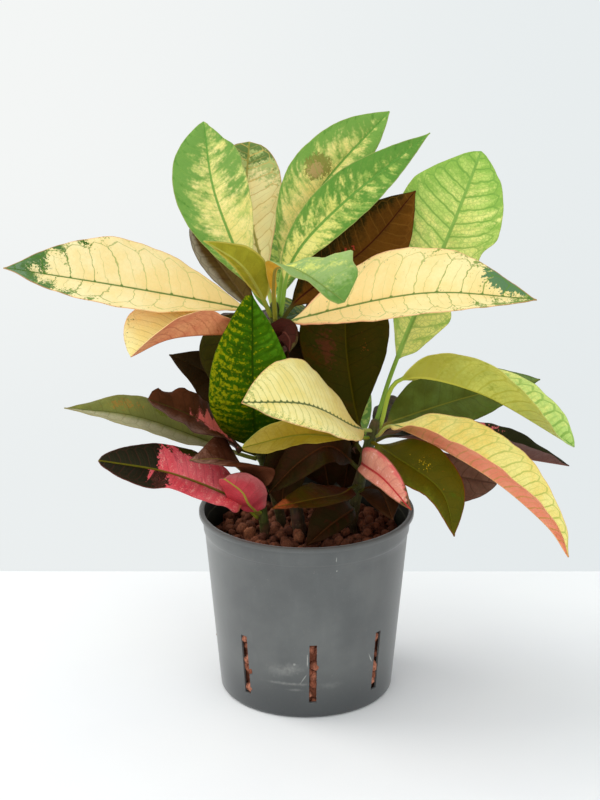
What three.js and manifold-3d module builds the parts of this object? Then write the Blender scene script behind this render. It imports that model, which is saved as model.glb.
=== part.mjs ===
// A croton in its slitted plastic growing pot, filled with clay pebbles.
// Millimetres, +Z up. The origin is the centre of the pot's base, the front is -Y and the right is +X.
import * as THREE from 'three';
import { mergeVertices } from 'three/addons/utils/BufferGeometryUtils.js';
import Module from 'manifold-3d';

const wasm = await Module();
wasm.setup();

// ---------------------------------------------------------------- driving dimensions

const CLEARANCE = 0.3; // between pieces that touch

const POT = {
  height: 115,
  baseRadius: 52.6,
  mouthRadius: 62.7,
  wall: 1.4,
  floor: 2,
  footRound: 2.4,
  collarHeight: 13,
  collarStep: 0.6,
  lipRadius: 65,
  lipHeight: 3.2,
  sides: 48,
};

const SLITS = { count: 8, width: 4.5, bottom: 11, top: 50, firstAngle: -86 };

const DRAINS = { count: 6, inner: 18, outer: 40, width: 4 };

const SUBSTRATE = { surface: 97, crown: 2, pebbles: 84, pebbleMin: 3.6, pebbleMax: 5, seed: 11 };

const STEM_SIDES = 10;
const STEM_STEPS = 12;

const PETIOLE = { width: 2.6, thickness: 2.2 };
const BLADE = { rib: 1.6, thickness: 0.8, edge: 0.6, tipWidth: 1.4 };

// Rows of a leaf along its blade as shares of its length, and its points across from left to right.
const BLADE_ROWS = [0, 0.1, 0.24, 0.38, 0.52, 0.66, 0.8, 0.92, 1];
const ACROSS = [-1, -0.5, 0, 0.5, 1];

const COLOURS = {
  pot: 0x686b6b,
  pebble: 0x7d4c38,
  bark: 0x5c5a2e,
  cream: 0xf6df94,
  lime: 0xb4d266,
  bottle: 0x2f6a14,
  olive: 0x5a5a16,
  mahogany: 0x4a2018,
  rose: 0xc9505c,
  sage: 0x7c8a58,
};

// Stems, from the bottom of their holes in the pebbles to their tips.
const STEMS = {
  tall: {
    path: [[-3, -7, 55], [-4, -7, 100], [-12, -3, 150], [-17, 0, 200], [-19, 0, 243]],
    radii: [4.6, 2.4],
  },
  right: { path: [[26, 6, 55], [27, 6, 100], [34, 2, 140], [41, -3, 171]], radii: [4.6, 2.6] },
  left: { path: [[-14, 9, 55], [-15, 9, 100], [-24, 3, 135], [-31, -2, 161]], radii: [3.4, 2.2] },
  shoot: { path: [[-25, -7, 70], [-25, -7, 100], [-26, -9, 112], [-27, -11, 124]], radii: [4, 2.4] },
};

// A leaf leaves its stem at a height and runs through the points of its path to its tip.
//   petiole  length of its stalk
//   width    of the blade where it is widest, at the share belly of the blade's length
//   left     how wide the left half of the blade is, as a share of half the width, and right the right half
//   point    how slender the tip is, from 0.6 (blunt) to 1.3 (drawn out)
//   fold     degrees that each half rises from the midrib at the base, and tipFold at the tip
//   faces    direction of the upper side at the base, and tipFaces at the tip where the leaf turns over
//   wave     height of the margin's waves
const PLAIN_LEAF = {
  petiole: 12, left: 1, right: 1, belly: 0.5, point: 1.1, fold: 15, wave: 0, waves: 2.5,
};

function leaf(name, colour, stem, height, path, shape) {
  const whole = { ...PLAIN_LEAF, name, colour, stem, height, path, ...shape };
  return { tipFaces: whole.faces, tipFold: whole.fold, ...whole };
}

const LEAVES = [
  // Round the top of the tall stem, from the lowest up.
  leaf('tall_maroon', 'mahogany', 'tall', 212, [[-14, -12, 229], [-10, -19, 227], [-10, -24, 221]],
    { petiole: 8, width: 17, belly: 0.4, fold: 12, faces: [0, -0.9, 0.4] }),
  leaf('tall_spotted_green', 'olive', 'tall', 215, [[-30, 14, 222], [-49, 25, 207], [-56, 28, 182]],
    { petiole: 12, width: 34, belly: 0.45, fold: 12, faces: [-0.3, -0.9, 0.3] }),
  leaf('tall_back_right', 'bottle', 'tall', 219, [[-15, 24, 226], [4, 68, 216], [22, 108, 194]],
    { petiole: 14, width: 44, fold: 15, faces: [0, -0.2, 0.95], wave: 1.5 }),
  leaf('tall_coral', 'cream', 'tall', 222, [[-37, -20, 231], [-75, -44, 236], [-99, -58, 229]],
    { petiole: 14, width: 40, left: 1.35, belly: 0.72, point: 0.6, fold: 55, tipFold: 42,
      faces: [0, 0.3, 0.95], tipFaces: [-0.2, -0.3, 0.93] }),
  leaf('tall_back_left', 'olive', 'tall', 223, [[-30, 22, 230], [-41, 70, 206], [-45, 115, 179]],
    { petiole: 14, width: 46, belly: 0.55, point: 1, faces: [0, -0.2, 0.95], wave: 1.5 }),
  leaf('tall_cream_right', 'cream', 'tall', 225, [[-7, -8, 235], [65, -28, 257], [130, -40, 257]],
    { petiole: 12, width: 60, point: 1.15, fold: 22, faces: [0, -0.5, 0.87] }),
  leaf('tall_grey_backed', 'mahogany', 'tall', 228, [[-37, 14, 243], [-54, 28, 263], [-69, 38, 281]],
    { petiole: 14, width: 27, left: 0.75, belly: 0.6, point: 0.7, faces: [0.1, -0.9, 0.4] }),
  leaf('tall_mahogany', 'mahogany', 'tall', 230, [[-3, 12, 244], [36, 32, 269], [65, 42, 301]],
    { petiole: 12, width: 48, belly: 0.52, fold: 12, faces: [0, -0.85, 0.5] }),
  leaf('tall_cream_left', 'cream', 'tall', 232, [[-38, -8, 242], [-101, -30, 261], [-170, -45, 277]],
    { petiole: 12, width: 60, belly: 0.54, point: 1.15, fold: 22, faces: [0, -0.5, 0.87] }),
  leaf('tall_back_high', 'lime', 'tall', 233, [[-16, 20, 246], [-12, 70, 270], [-11, 110, 276]],
    { petiole: 14, width: 46, belly: 0.55, point: 1, faces: [0, -0.55, 0.85], wave: 1.5 }),
  leaf('tall_turned', 'lime', 'tall', 234,
    [[-19, -16, 261], [-16, -32, 274], [-2, -46, 274], [21, -58, 261]],
    { petiole: 16, width: 52, right: 0.5, belly: 0.88, point: 0.2, fold: 12, tipFold: 32,
      faces: [0.1, 0.8, 0.6], tipFaces: [0.1, -0.45, 0.9] }),
  leaf('tall_olive_backed', 'olive', 'tall', 236, [[-28, -12, 255], [-38, -28, 275], [-58, -38, 291]],
    { petiole: 14, width: 24, right: 0.5, belly: 0.42, point: 1, fold: 20, faces: [-0.2, 0.75, 0.65] }),
  leaf('tall_green_right', 'lime', 'tall', 236, [[-8, -4, 271], [20, 2, 302], [71, 12, 342]],
    { petiole: 20, width: 32, right: 0.85, belly: 0.48, point: 1.15, faces: [0.2, -0.85, 0.5] }),
  leaf('tall_green_middle', 'lime', 'tall', 239, [[-12, 10, 266], [9, 18, 309], [48, 25, 352]],
    { petiole: 20, width: 44, left: 1.05, right: 0.75, belly: 0.55, point: 0.95, fold: 18,
      faces: [-0.1, -0.9, 0.4] }),
  leaf('tall_butter', 'cream', 'tall', 239, [[-24, 14, 254], [-35, 35, 297], [-34, 45, 330]],
    { petiole: 14, width: 42, belly: 0.72, point: 0.55, fold: 10, faces: [0, -0.95, 0.3] }),
  leaf('tall_green_left', 'lime', 'tall', 240, [[-32, 0, 254], [-53, 8, 306], [-60, 25, 346]],
    { petiole: 14, width: 47, right: 0.88, belly: 0.62, point: 0.8, fold: 12, faces: [0.1, -0.95, 0.3] }),

  // Dark leaves inside the plant, on the tall stem.
  leaf('inner_high', 'mahogany', 'tall', 208, [[-14, 16, 214], [-11, 29, 208], [-14, 38, 173]],
    { petiole: 14, width: 38, fold: 10, faces: [0, -1, 0.1] }),
  leaf('inner_left', 'mahogany', 'tall', 150, [[-15, 7, 152], [-15, 11, 137], [-15, 13, 112]],
    { petiole: 6, width: 28, fold: 10, faces: [0, -1, 0.1] }),
  leaf('inner_right', 'mahogany', 'tall', 157, [[-3, 9, 162], [8, 15, 148], [14, 18, 120]],
    { petiole: 8, width: 36, fold: 10, faces: [0, -1, 0.1] }),
  leaf('inner_front_left', 'mahogany', 'right', 140, [[14, -22, 162], [-4, -26, 154], [-23, -22, 132]],
    { petiole: 10, width: 24, belly: 0.45, fold: 20, faces: [0, -0.8, 0.6] }),
  leaf('inner_front_middle', 'mahogany', 'tall', 146, [[-12, -10, 158], [-13, -16, 145], [-15, -16, 121]],
    { petiole: 6, width: 26, belly: 0.45, fold: 10, faces: [0, -1, 0.2] }),

  // Round the left stem.
  leaf('left_inner', 'mahogany', 'left', 149, [[-21, 12, 157], [-15, 29, 158], [-14, 36, 122]],
    { petiole: 10, width: 42, belly: 0.55, fold: 10, faces: [0, -0.6, 0.8], tipFaces: [0, -1, 0.1] }),
  leaf('left_back', 'sage', 'left', 142, [[-38, 20, 152], [-55, 55, 152], [-65, 95, 134]],
    { petiole: 14, width: 40, faces: [0, -0.2, 0.95], wave: 1.5 }),
  leaf('left_maroon', 'rose', 'left', 151, [[-44, -10, 159], [-64, -32, 183], [-91, -44, 199]],
    { petiole: 10, width: 38, right: 0.8, belly: 0.6, point: 0.45, fold: 22, faces: [0, -0.5, 0.86] }),
  leaf('left_grey_green', 'sage', 'left', 147, [[-44, -3, 152], [-97, -22, 180], [-140, -36, 191]],
    { petiole: 12, width: 30, belly: 0.52, point: 1.3, faces: [0, -0.45, 0.9] }),
  leaf('left_dark', 'mahogany', 'left', 153, [[-40, 20, 162], [-57, 40, 184], [-84, 44, 198]],
    { petiole: 12, width: 31, fold: 12, faces: [0, -0.8, 0.6] }),
  leaf('left_bottle_green', 'bottle', 'left', 156, [[-30, -18, 167], [-31, -38, 212], [-31, -34, 258]],
    { petiole: 10, width: 48, left: 0.9, belly: 0.45, fold: 12, faces: [0, -0.95, 0.3] }),

  // Round the right stem.
  leaf('right_low_maroon', 'mahogany', 'right', 114, [[26, -14, 118], [14, -26, 114], [0, -36, 105]],
    { petiole: 8, width: 30, left: 0.45, belly: 0.45, point: 1, fold: 12, faces: [0.2, -0.8, 0.5] }),
  leaf('right_low_brown', 'mahogany', 'right', 129, [[20, -20, 131], [5, -40, 136], [-20, -52, 135]],
    { petiole: 8, width: 26, belly: 0.45, point: 1, faces: [0, -0.3, 0.95] }),
  leaf('right_low_arch', 'mahogany', 'right', 126, [[37, -10, 131], [44, -30, 136], [50, -50, 127]],
    { petiole: 8, width: 24, faces: [-0.1, -0.6, 0.8] }),
  leaf('right_inner', 'mahogany', 'right', 148, [[28, 15, 152], [26, 24, 138], [23, 27, 116]],
    { petiole: 8, width: 34, belly: 0.45, fold: 12, faces: [0, -1, 0.1] }),
  leaf('right_back', 'mahogany', 'right', 150, [[46, 24, 153], [70, 70, 150], [88, 108, 134]],
    { petiole: 14, width: 44, faces: [0, -0.2, 0.95], wave: 1.5 }),
  leaf('right_purple_low', 'mahogany', 'right', 152, [[50, 5, 151], [81, 11, 134], [116, 13, 125]],
    { petiole: 10, width: 42, left: 0.6, point: 0.8, fold: 10, faces: [0, -0.7, 0.7] }),
  leaf('right_back_middle', 'lime', 'right', 153, [[34, 22, 160], [14, 68, 168], [6, 112, 156]],
    { petiole: 14, width: 44, faces: [0, -0.2, 0.95], wave: 1.5 }),
  leaf('right_pink', 'rose', 'right', 145, [[34, -20, 150], [45, -44, 150], [60, -62, 138]],
    { petiole: 8, width: 26, left: 1.1, right: 0.5, belly: 0.45, point: 0.9, fold: 25,
      faces: [-0.5, -0.8, 0.4] }),
  leaf('right_dark_middle', 'olive', 'right', 156, [[31, 12, 166], [24, 24, 207], [23, 30, 260]],
    { petiole: 10, width: 56, right: 0.95, belly: 0.58, point: 1, fold: 8, faces: [0, -1, 0.2] }),
  leaf('right_purple_far', 'mahogany', 'right', 157, [[57, 16, 155], [113, 34, 138], [164, 45, 125]],
    { petiole: 14, width: 34, left: 1.3, belly: 0.55, fold: 45, faces: [0, 0.1, 1] }),
  leaf('right_olive', 'olive', 'right', 159, [[50, -27, 159], [77, -54, 147], [85, -63, 122]],
    { petiole: 8, width: 36, left: 1.05, right: 0.8, belly: 0.42, point: 1.1, fold: 12,
      faces: [0.2, -0.7, 0.7] }),
  leaf('right_ochre_backed', 'olive', 'right', 161, [[26, -20, 167], [-4, -42, 177], [-37, -56, 174]],
    { petiole: 10, width: 28, left: 0.8, right: 0.9, belly: 0.68, point: 0.7, fold: 10,
      faces: [-0.15, 0.9, 0.4] }),
  leaf('right_grey_green', 'sage', 'right', 162, [[51, 10, 166], [93, 26, 175], [143, 38, 184]],
    { petiole: 12, width: 36, left: 1.25, belly: 0.42, fold: 12, faces: [0, -0.7, 0.7] }),
  leaf('right_coral', 'cream', 'right', 163,
    [[55, -14, 171], [103, -45, 154], [137, -60, 129], [151, -65, 110]],
    { petiole: 14, width: 50, left: 1.06, belly: 0.45, point: 0.95, fold: 44, tipFold: 40,
      faces: [0.1, -0.1, 0.97], tipFaces: [0.4, 0, 0.9] }),
  leaf('right_cream', 'cream', 'right', 166, [[28, -22, 174], [0, -60, 201], [-36, -88, 212]],
    { petiole: 10, width: 62, left: 0.85, belly: 0.52, point: 1, fold: 12, faces: [0, -0.62, 0.78] }),
  leaf('right_lime_arch', 'lime', 'right', 167, [[56, -4, 198], [101, -20, 195], [157, -25, 163]],
    { petiole: 36, width: 54, left: 0.85, belly: 0.52, point: 0.75, fold: 42, faces: [0, 0.75, 0.65],
      tipFaces: [0.1, -0.5, 0.85] }),
  leaf('right_lime_high', 'lime', 'right', 168, [[54, 18, 203], [87, 45, 277], [105, 60, 321]],
    { petiole: 40, width: 58, belly: 0.62, point: 0.7, fold: 8, faces: [-0.1, -0.95, 0.3] }),

  // Round the low shoot.
  leaf('shoot_pink', 'rose', 'shoot', 113, [[-42, -18, 127], [-80, -32, 149], [-121, -40, 160]],
    { petiole: 16, width: 40, right: 0.9, belly: 0.42, point: 0.6, faces: [0, -0.6, 0.8] }),
  leaf('shoot_rose', 'rose', 'shoot', 117, [[-34, -26, 127], [-38, -33, 138], [-48, -40, 149]],
    { petiole: 6, width: 18, belly: 0.5, point: 0.8, fold: 20, faces: [0, 0.8, 0.6] }),
  leaf('shoot_brown', 'mahogany', 'shoot', 120, [[-32, -22, 139], [-46, -36, 158], [-68, -42, 161]],
    { petiole: 20, width: 32, belly: 0.45, fold: 25, faces: [0, 0, 1], tipFaces: [0, -0.4, 0.9] }),
];

// ---------------------------------------------------------------- helpers

const radians = THREE.MathUtils.degToRad;

function curveThrough(points) {
  return new THREE.CatmullRomCurve3(points, false, 'catmullrom', 0.5);
}

function vectors(points) {
  return points.map((point) => new THREE.Vector3(...point));
}

function smoothstep(x) {
  return THREE.MathUtils.smoothstep(x, 0, 1);
}

function seededRandom(seed) {
  let state = seed;
  return () => {
    state = (state * 16807) % 2147483647;
    return state / 2147483647;
  };
}

function toSolid(geometry) {
  const bare = geometry.clone();
  bare.deleteAttribute('normal');
  bare.deleteAttribute('uv');
  const merged = mergeVertices(bare, 1e-4);
  return new wasm.Manifold(
    new wasm.Mesh({
      numProp: 3,
      vertProperties: new Float32Array(merged.attributes.position.array),
      triVerts: new Uint32Array(merged.index.array),
    }),
  );
}

function toGeometry(solid) {
  const mesh = solid.getMesh();
  const geometry = new THREE.BufferGeometry();
  geometry.setAttribute('position', new THREE.BufferAttribute(mesh.vertProperties, 3));
  geometry.setIndex(new THREE.BufferAttribute(mesh.triVerts, 1));
  geometry.computeVertexNormals();
  return geometry;
}

// A solid of revolution about Z from [radius, height] points that start and end on the axis.
function turned(profile, sides) {
  const points = profile.map(([radius, height]) => new THREE.Vector2(radius, height));
  return new THREE.LatheGeometry(points, sides).rotateX(Math.PI / 2);
}

// A closed body from rows of points and triangles that index into them.
function meshOfRows(rows, triangles) {
  const geometry = new THREE.BufferGeometry();
  const flat = rows.flat().flatMap((point) => point.toArray());
  geometry.setAttribute('position', new THREE.Float32BufferAttribute(flat, 3));
  geometry.setIndex(triangles);
  geometry.computeVertexNormals();
  return geometry;
}

// ---------------------------------------------------------------- pot

function wallRadius(height) {
  return THREE.MathUtils.lerp(POT.baseRadius, POT.mouthRadius, height / POT.height);
}

// Radially placed boxes, each centred on its own ray from the pot's axis.
function spokes(count, firstAngle, makeBox) {
  return Array.from({ length: count }, (_, i) => {
    const box = makeBox().rotateZ(radians(firstAngle + (i * 360) / count));
    return toSolid(box);
  });
}

function potGeometry() {
  const collarFoot = POT.height - POT.collarHeight;
  const lipFoot = POT.height - POT.lipHeight;
  const collarRadius = (height) => wallRadius(height) + POT.collarStep;
  const profile = [
    [0, 0],
    [POT.baseRadius - POT.footRound, 0],
    [wallRadius(0) - POT.footRound * 0.25, POT.footRound * 0.35],
    [wallRadius(POT.footRound), POT.footRound],
    [wallRadius(collarFoot), collarFoot],
    [collarRadius(collarFoot + 1), collarFoot + 1],
    [collarRadius(lipFoot), lipFoot],
    [POT.lipRadius, lipFoot + 0.6],
    [POT.lipRadius, POT.height - 0.6],
    [POT.lipRadius - 0.6, POT.height],
    [POT.mouthRadius - 0.5, POT.height],
    [wallRadius(collarFoot) - POT.wall, collarFoot],
    [wallRadius(POT.floor) - POT.wall, POT.floor],
    [0, POT.floor],
  ];
  const slitHeight = SLITS.top - SLITS.bottom;
  const slits = spokes(SLITS.count, SLITS.firstAngle, () =>
    new THREE.BoxGeometry(20, SLITS.width, slitHeight).translate(
      wallRadius(0),
      0,
      SLITS.bottom + slitHeight / 2,
    ),
  );
  const drainLength = DRAINS.outer - DRAINS.inner;
  const drains = spokes(DRAINS.count, 0, () =>
    new THREE.BoxGeometry(drainLength, DRAINS.width, 3 * POT.floor).translate(
      DRAINS.inner + drainLength / 2,
      0,
      POT.floor / 2,
    ),
  );
  const body = toSolid(turned(profile, POT.sides));
  return toGeometry([...slits, ...drains].reduce((rest, cut) => rest.subtract(cut), body));
}

// ---------------------------------------------------------------- stems

function stemCurve(name) {
  return curveThrough(vectors(STEMS[name].path));
}

// A round, tapering rod along a curve, widened all round by extra.
function rod(curve, [startRadius, endRadius], extra) {
  const rows = [];
  const across = new THREE.Vector3(1, 0, 0);
  for (let i = 0; i <= STEM_STEPS; i += 1) {
    const share = i / STEM_STEPS;
    const centre = curve.getPointAt(share);
    const along = curve.getTangentAt(share);
    const side = across.clone().addScaledVector(along, -across.dot(along)).normalize();
    const up = new THREE.Vector3().crossVectors(along, side);
    const radius = THREE.MathUtils.lerp(startRadius, endRadius, share) + extra;
    const ring = [];
    for (let k = 0; k < STEM_SIDES; k += 1) {
      const angle = (2 * Math.PI * k) / STEM_SIDES;
      ring.push(
        centre
          .clone()
          .addScaledVector(side, radius * Math.cos(angle))
          .addScaledVector(up, radius * Math.sin(angle)),
      );
    }
    rows.push(ring);
  }
  const triangles = [];
  for (let i = 0; i < STEM_STEPS; i += 1) {
    for (let k = 0; k < STEM_SIDES; k += 1) {
      const a = i * STEM_SIDES + k;
      const b = i * STEM_SIDES + ((k + 1) % STEM_SIDES);
      triangles.push(a, b, b + STEM_SIDES, a, b + STEM_SIDES, a + STEM_SIDES);
    }
  }
  const top = STEM_STEPS * STEM_SIDES;
  for (let k = 1; k < STEM_SIDES - 1; k += 1) {
    triangles.push(0, k + 1, k, top, top + k, top + k + 1);
  }
  return meshOfRows(rows, triangles);
}

function stemGeometry(name) {
  return rod(stemCurve(name), STEMS[name].radii, 0);
}

// The plain hole that a stem stands in: the stem with room all round and below it.
function stemHole(name) {
  const points = vectors(STEMS[name].path);
  points[0].z -= CLEARANCE;
  return toSolid(rod(curveThrough(points), STEMS[name].radii, CLEARANCE));
}

// ---------------------------------------------------------------- clay pebbles

// One fill of pebbles: a plug that fits the pot, with the top layer of pebbles standing out of it.
function substrateGeometry() {
  const inner = (height) => wallRadius(height) - POT.wall - CLEARANCE;
  const bottom = POT.floor + CLEARANCE;
  const { surface, crown, pebbles, pebbleMin, pebbleMax, seed } = SUBSTRATE;
  const outline = [[0, bottom], [inner(bottom), bottom], [inner(surface), surface], [0, surface + crown]];
  const plug = toSolid(turned(outline, POT.sides));
  const random = seededRandom(seed);
  const goldenAngle = Math.PI * (3 - Math.sqrt(5));
  const reach = inner(surface) - pebbleMax - CLEARANCE;
  const stones = [];
  for (let i = 0; i < pebbles; i += 1) {
    const size = THREE.MathUtils.lerp(pebbleMin, pebbleMax, random());
    const distance = reach * Math.sqrt((i + 0.5) / pebbles);
    const angle = i * goldenAngle + 0.2 * random();
    const stone = new THREE.IcosahedronGeometry(size, 0)
      .scale(1, 0.85 + 0.15 * random(), 0.8 + 0.2 * random())
      .rotateX(Math.PI * random())
      .rotateZ(Math.PI * random())
      .translate(distance * Math.cos(angle), distance * Math.sin(angle), surface + crown * random());
    stones.push(toSolid(stone));
  }
  const heap = stones.reduce((sum, stone) => sum.add(stone), plug);
  return toGeometry(Object.keys(STEMS).reduce((rest, name) => rest.subtract(stemHole(name)), heap));
}

// ---------------------------------------------------------------- leaves

// The height of a curve that climbs all the way, found by halving.
function shareAtHeight(curve, height) {
  let low = 0;
  let high = 1;
  for (let i = 0; i < 30; i += 1) {
    const middle = (low + high) / 2;
    if (curve.getPointAt(middle).z < height) low = middle;
    else high = middle;
  }
  return low;
}

// Where a leaf's stalk starts: just clear of its stem's skin, on the side it sets out to.
function petioleRoot({ stem, height, path }) {
  const curve = stemCurve(stem);
  const share = shareAtHeight(curve, height);
  const centre = curve.getPointAt(share);
  const along = curve.getTangentAt(share);
  const toward = new THREE.Vector3(...path[0]).sub(centre);
  const outward = toward.clone().addScaledVector(along, -toward.dot(along)).normalize();
  const radius = THREE.MathUtils.lerp(...STEMS[stem].radii, share);
  const skin = centre.clone().addScaledVector(outward, radius);
  const setsOut = new THREE.Vector3(...path[0]).sub(skin).normalize();
  const slant = Math.sqrt(1 - Math.min(1, setsOut.dot(outward) ** 2));
  return skin.addScaledVector(outward, CLEARANCE + (PETIOLE.thickness / 2) * slant);
}

// Half of the blade's width at the share t of its length: a power curve that peaks at the belly.
function halfWidth({ width, belly, point }, t) {
  if (t <= 0) return PETIOLE.width / 2;
  if (t >= 1) return BLADE.tipWidth / 2;
  const base = (point * belly) / (1 - belly);
  const share = (t / belly) ** base * ((1 - t) / (1 - belly)) ** point;
  return Math.max(PETIOLE.width / 2, (width / 2) * share);
}

// Height of the section's skin above or below its middle, at the share v of the half width.
function halfThickness(v, t) {
  const blade = v === 0 ? BLADE.rib / 2 : THREE.MathUtils.lerp(BLADE.thickness, BLADE.edge, v) / 2;
  const stalk = (PETIOLE.thickness / 2) * (1 - 0.6 * v * v);
  return THREE.MathUtils.lerp(stalk, blade, smoothstep(t / 0.2));
}

// One row of a leaf: its upper points from left to right, then its lower points from left to right.
function leafRow(spec, centre, along, t) {
  const faces = new THREE.Vector3(...spec.faces)
    .normalize()
    .lerp(new THREE.Vector3(...spec.tipFaces).normalize(), t);
  const up = faces.addScaledVector(along, -faces.dot(along)).normalize();
  const right = new THREE.Vector3().crossVectors(along, up);
  const half = halfWidth(spec, t);
  const fold = radians(THREE.MathUtils.lerp(spec.fold, spec.tipFold, t)) * smoothstep(t / 0.15);
  const swell = spec.wave * Math.sin(Math.PI * t);
  const upper = [];
  const lower = [];
  for (const v of ACROSS) {
    const side = Math.sign(v);
    const reach = Math.abs(v);
    const outward = reach * Math.max(PETIOLE.width / 2, half * (side < 0 ? spec.left : spec.right));
    const ripple = swell * reach ** 2 * Math.sin(2 * Math.PI * spec.waves * t + 1.9 * side);
    const middle = centre
      .clone()
      .addScaledVector(right, side * outward * Math.cos(fold))
      .addScaledVector(up, outward * Math.sin(fold) + ripple);
    const skin = up
      .clone()
      .multiplyScalar(Math.cos(fold))
      .addScaledVector(right, -side * Math.sin(fold));
    const thickness = halfThickness(reach, t);
    upper.push(middle.clone().addScaledVector(skin, thickness));
    lower.push(middle.clone().addScaledVector(skin, -thickness));
  }
  return [...upper, ...lower];
}

function leafGeometry(spec) {
  const curve = curveThrough([petioleRoot(spec), ...vectors(spec.path)]);
  const stalk = spec.petiole / curve.getLength();
  const shares = [0, ...BLADE_ROWS.map((t) => stalk + (1 - stalk) * t)];
  const rows = shares.map((share) => {
    const t = Math.max(0, (share - stalk) / (1 - stalk));
    return leafRow(spec, curve.getPointAt(share), curve.getTangentAt(share), t);
  });

  const across = ACROSS.length;
  const upper = (row, k) => row * 2 * across + k;
  const lower = (row, k) => upper(row, k) + across;
  const triangles = [];
  const quad = (a, b, c, d) => triangles.push(a, b, c, a, c, d);
  for (let i = 0; i + 1 < rows.length; i += 1) {
    for (let k = 0; k + 1 < across; k += 1) {
      quad(upper(i, k), upper(i, k + 1), upper(i + 1, k + 1), upper(i + 1, k));
      triangles.push(lower(i, k), lower(i + 1, k + 1), lower(i, k + 1));
      triangles.push(lower(i, k), lower(i + 1, k), lower(i + 1, k + 1));
    }
    quad(upper(i, 0), upper(i + 1, 0), lower(i + 1, 0), lower(i, 0));
    quad(upper(i, across - 1), lower(i, across - 1), lower(i + 1, across - 1), upper(i + 1, across - 1));
  }
  const last = rows.length - 1;
  for (let k = 0; k + 1 < across; k += 1) {
    quad(upper(0, k), lower(0, k), lower(0, k + 1), upper(0, k + 1));
    quad(upper(last, k), upper(last, k + 1), lower(last, k + 1), lower(last, k));
  }
  return meshOfRows(rows, triangles);
}

// ---------------------------------------------------------------- the plant in its pot

function piece(name, geometry, colour, roughness) {
  const material = new THREE.MeshStandardMaterial({ color: COLOURS[colour], roughness, metalness: 0 });
  const mesh = new THREE.Mesh(geometry, material);
  mesh.name = name;
  return mesh;
}

const croton = new THREE.Group();
croton.name = 'potted_croton';
croton.add(piece('pot', potGeometry(), 'pot', 0.55));
croton.add(piece('substrate', substrateGeometry(), 'pebble', 0.9));
for (const name of Object.keys(STEMS)) {
  croton.add(piece(`stem_${name}`, stemGeometry(name), 'bark', 0.7));
}
for (const spec of LEAVES) {
  croton.add(piece(`leaf_${spec.name}`, leafGeometry(spec), spec.colour, 0.35));
}

export default croton;
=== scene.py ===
"""A croton in a slitted growing pot filled with clay pebbles, dressed on its CAD frame.

Sizes are in millimetres and angles in degrees, and meshes are made in metres. The front is -Y and the right is +X.
"""

import logging
import math
from dataclasses import dataclass, field, replace
from enum import Enum
from functools import reduce
from typing import Iterable, Sequence

import bmesh
import bpy
import numpy as np
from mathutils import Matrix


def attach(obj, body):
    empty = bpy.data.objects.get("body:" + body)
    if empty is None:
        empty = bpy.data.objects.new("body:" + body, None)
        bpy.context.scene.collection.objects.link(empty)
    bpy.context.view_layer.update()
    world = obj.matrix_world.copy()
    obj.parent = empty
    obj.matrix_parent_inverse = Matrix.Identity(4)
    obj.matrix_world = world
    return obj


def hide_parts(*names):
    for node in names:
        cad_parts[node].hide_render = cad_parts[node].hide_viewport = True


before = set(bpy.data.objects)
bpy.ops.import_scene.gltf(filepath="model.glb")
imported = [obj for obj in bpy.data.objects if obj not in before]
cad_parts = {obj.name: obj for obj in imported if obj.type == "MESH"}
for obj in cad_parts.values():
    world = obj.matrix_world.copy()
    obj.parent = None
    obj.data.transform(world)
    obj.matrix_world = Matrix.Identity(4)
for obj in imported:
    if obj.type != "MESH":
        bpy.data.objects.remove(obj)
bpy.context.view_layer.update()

Point = tuple[float, float, float]
Socket = bpy.types.NodeSocket
Operand = bpy.types.NodeSocket | float | int | tuple | str

MM = 0.001  # metres in a millimetre
ROOT = "root"  # the body that every piece rides on
LOG = logging.getLogger("croton")


# ---------------------------------------------------------------- small tools


def tint(code: str) -> tuple[float, ...]:
    """Turns a colour such as "#c8d26e", as it looks on a screen, into linear light.

    Args:
        code: the colour's six hexadecimal digits after a hash.

    Returns:
        Red, green and blue from 0 to 1, and 1 for a colour that hides what is under it.
    """
    shares = [int(code[i : i + 2], 16) / 255 for i in (1, 3, 5)]
    return (*(c / 12.92 if c <= 0.04045 else ((c + 0.055) / 1.055) ** 2.4 for c in shares), 1.0)


def smoothstep(x: np.ndarray | float) -> np.ndarray:
    """Returns the smooth rise from 0 to 1 between x = 0 and x = 1."""
    x = np.clip(x, 0.0, 1.0)
    return x * x * (3.0 - 2.0 * x)


def unit(vectors: np.ndarray) -> np.ndarray:
    """Returns the vectors at length one."""
    return vectors / np.linalg.norm(vectors, axis=-1, keepdims=True)


def swell(along: np.ndarray, seed: float, period: float) -> np.ndarray:
    """Makes an even, aimless wander along a line, the same for the same seed.

    Args:
        along: places on the line.
        seed: which of the wanders it is.
        period: the length of its longest wave.

    Returns:
        Values between about -1 and 1.
    """
    turns = 2.0 * math.pi * along / period
    waves = ((0.5, 1.0, 1.7), (0.3, 1.83, 4.1), (0.2, 3.1, 2.9))
    return sum(height * np.sin(pace * turns + shift * seed) for height, pace, shift in waves)


def ring(radius: float, height: float, angles: np.ndarray) -> np.ndarray:
    """Returns the points of a level ring round the pot's axis, at angles in radians."""
    return np.stack([radius * np.cos(angles), radius * np.sin(angles), np.full(len(angles), height)], axis=1)


def quad(row: int, column: int, n: int) -> tuple[int, int, int, int]:
    """Returns the face between a ring of n points and the next ring, from one column to the next."""
    after = (column + 1) % n
    return row * n + column, row * n + after, (row + 1) * n + after, (row + 1) * n + column


def tube(rows: int, n: int) -> list[tuple[int, int, int, int]]:
    """Returns the faces between all the rings of n points."""
    return [quad(row, column, n) for row in range(rows - 1) for column in range(n)]


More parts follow.
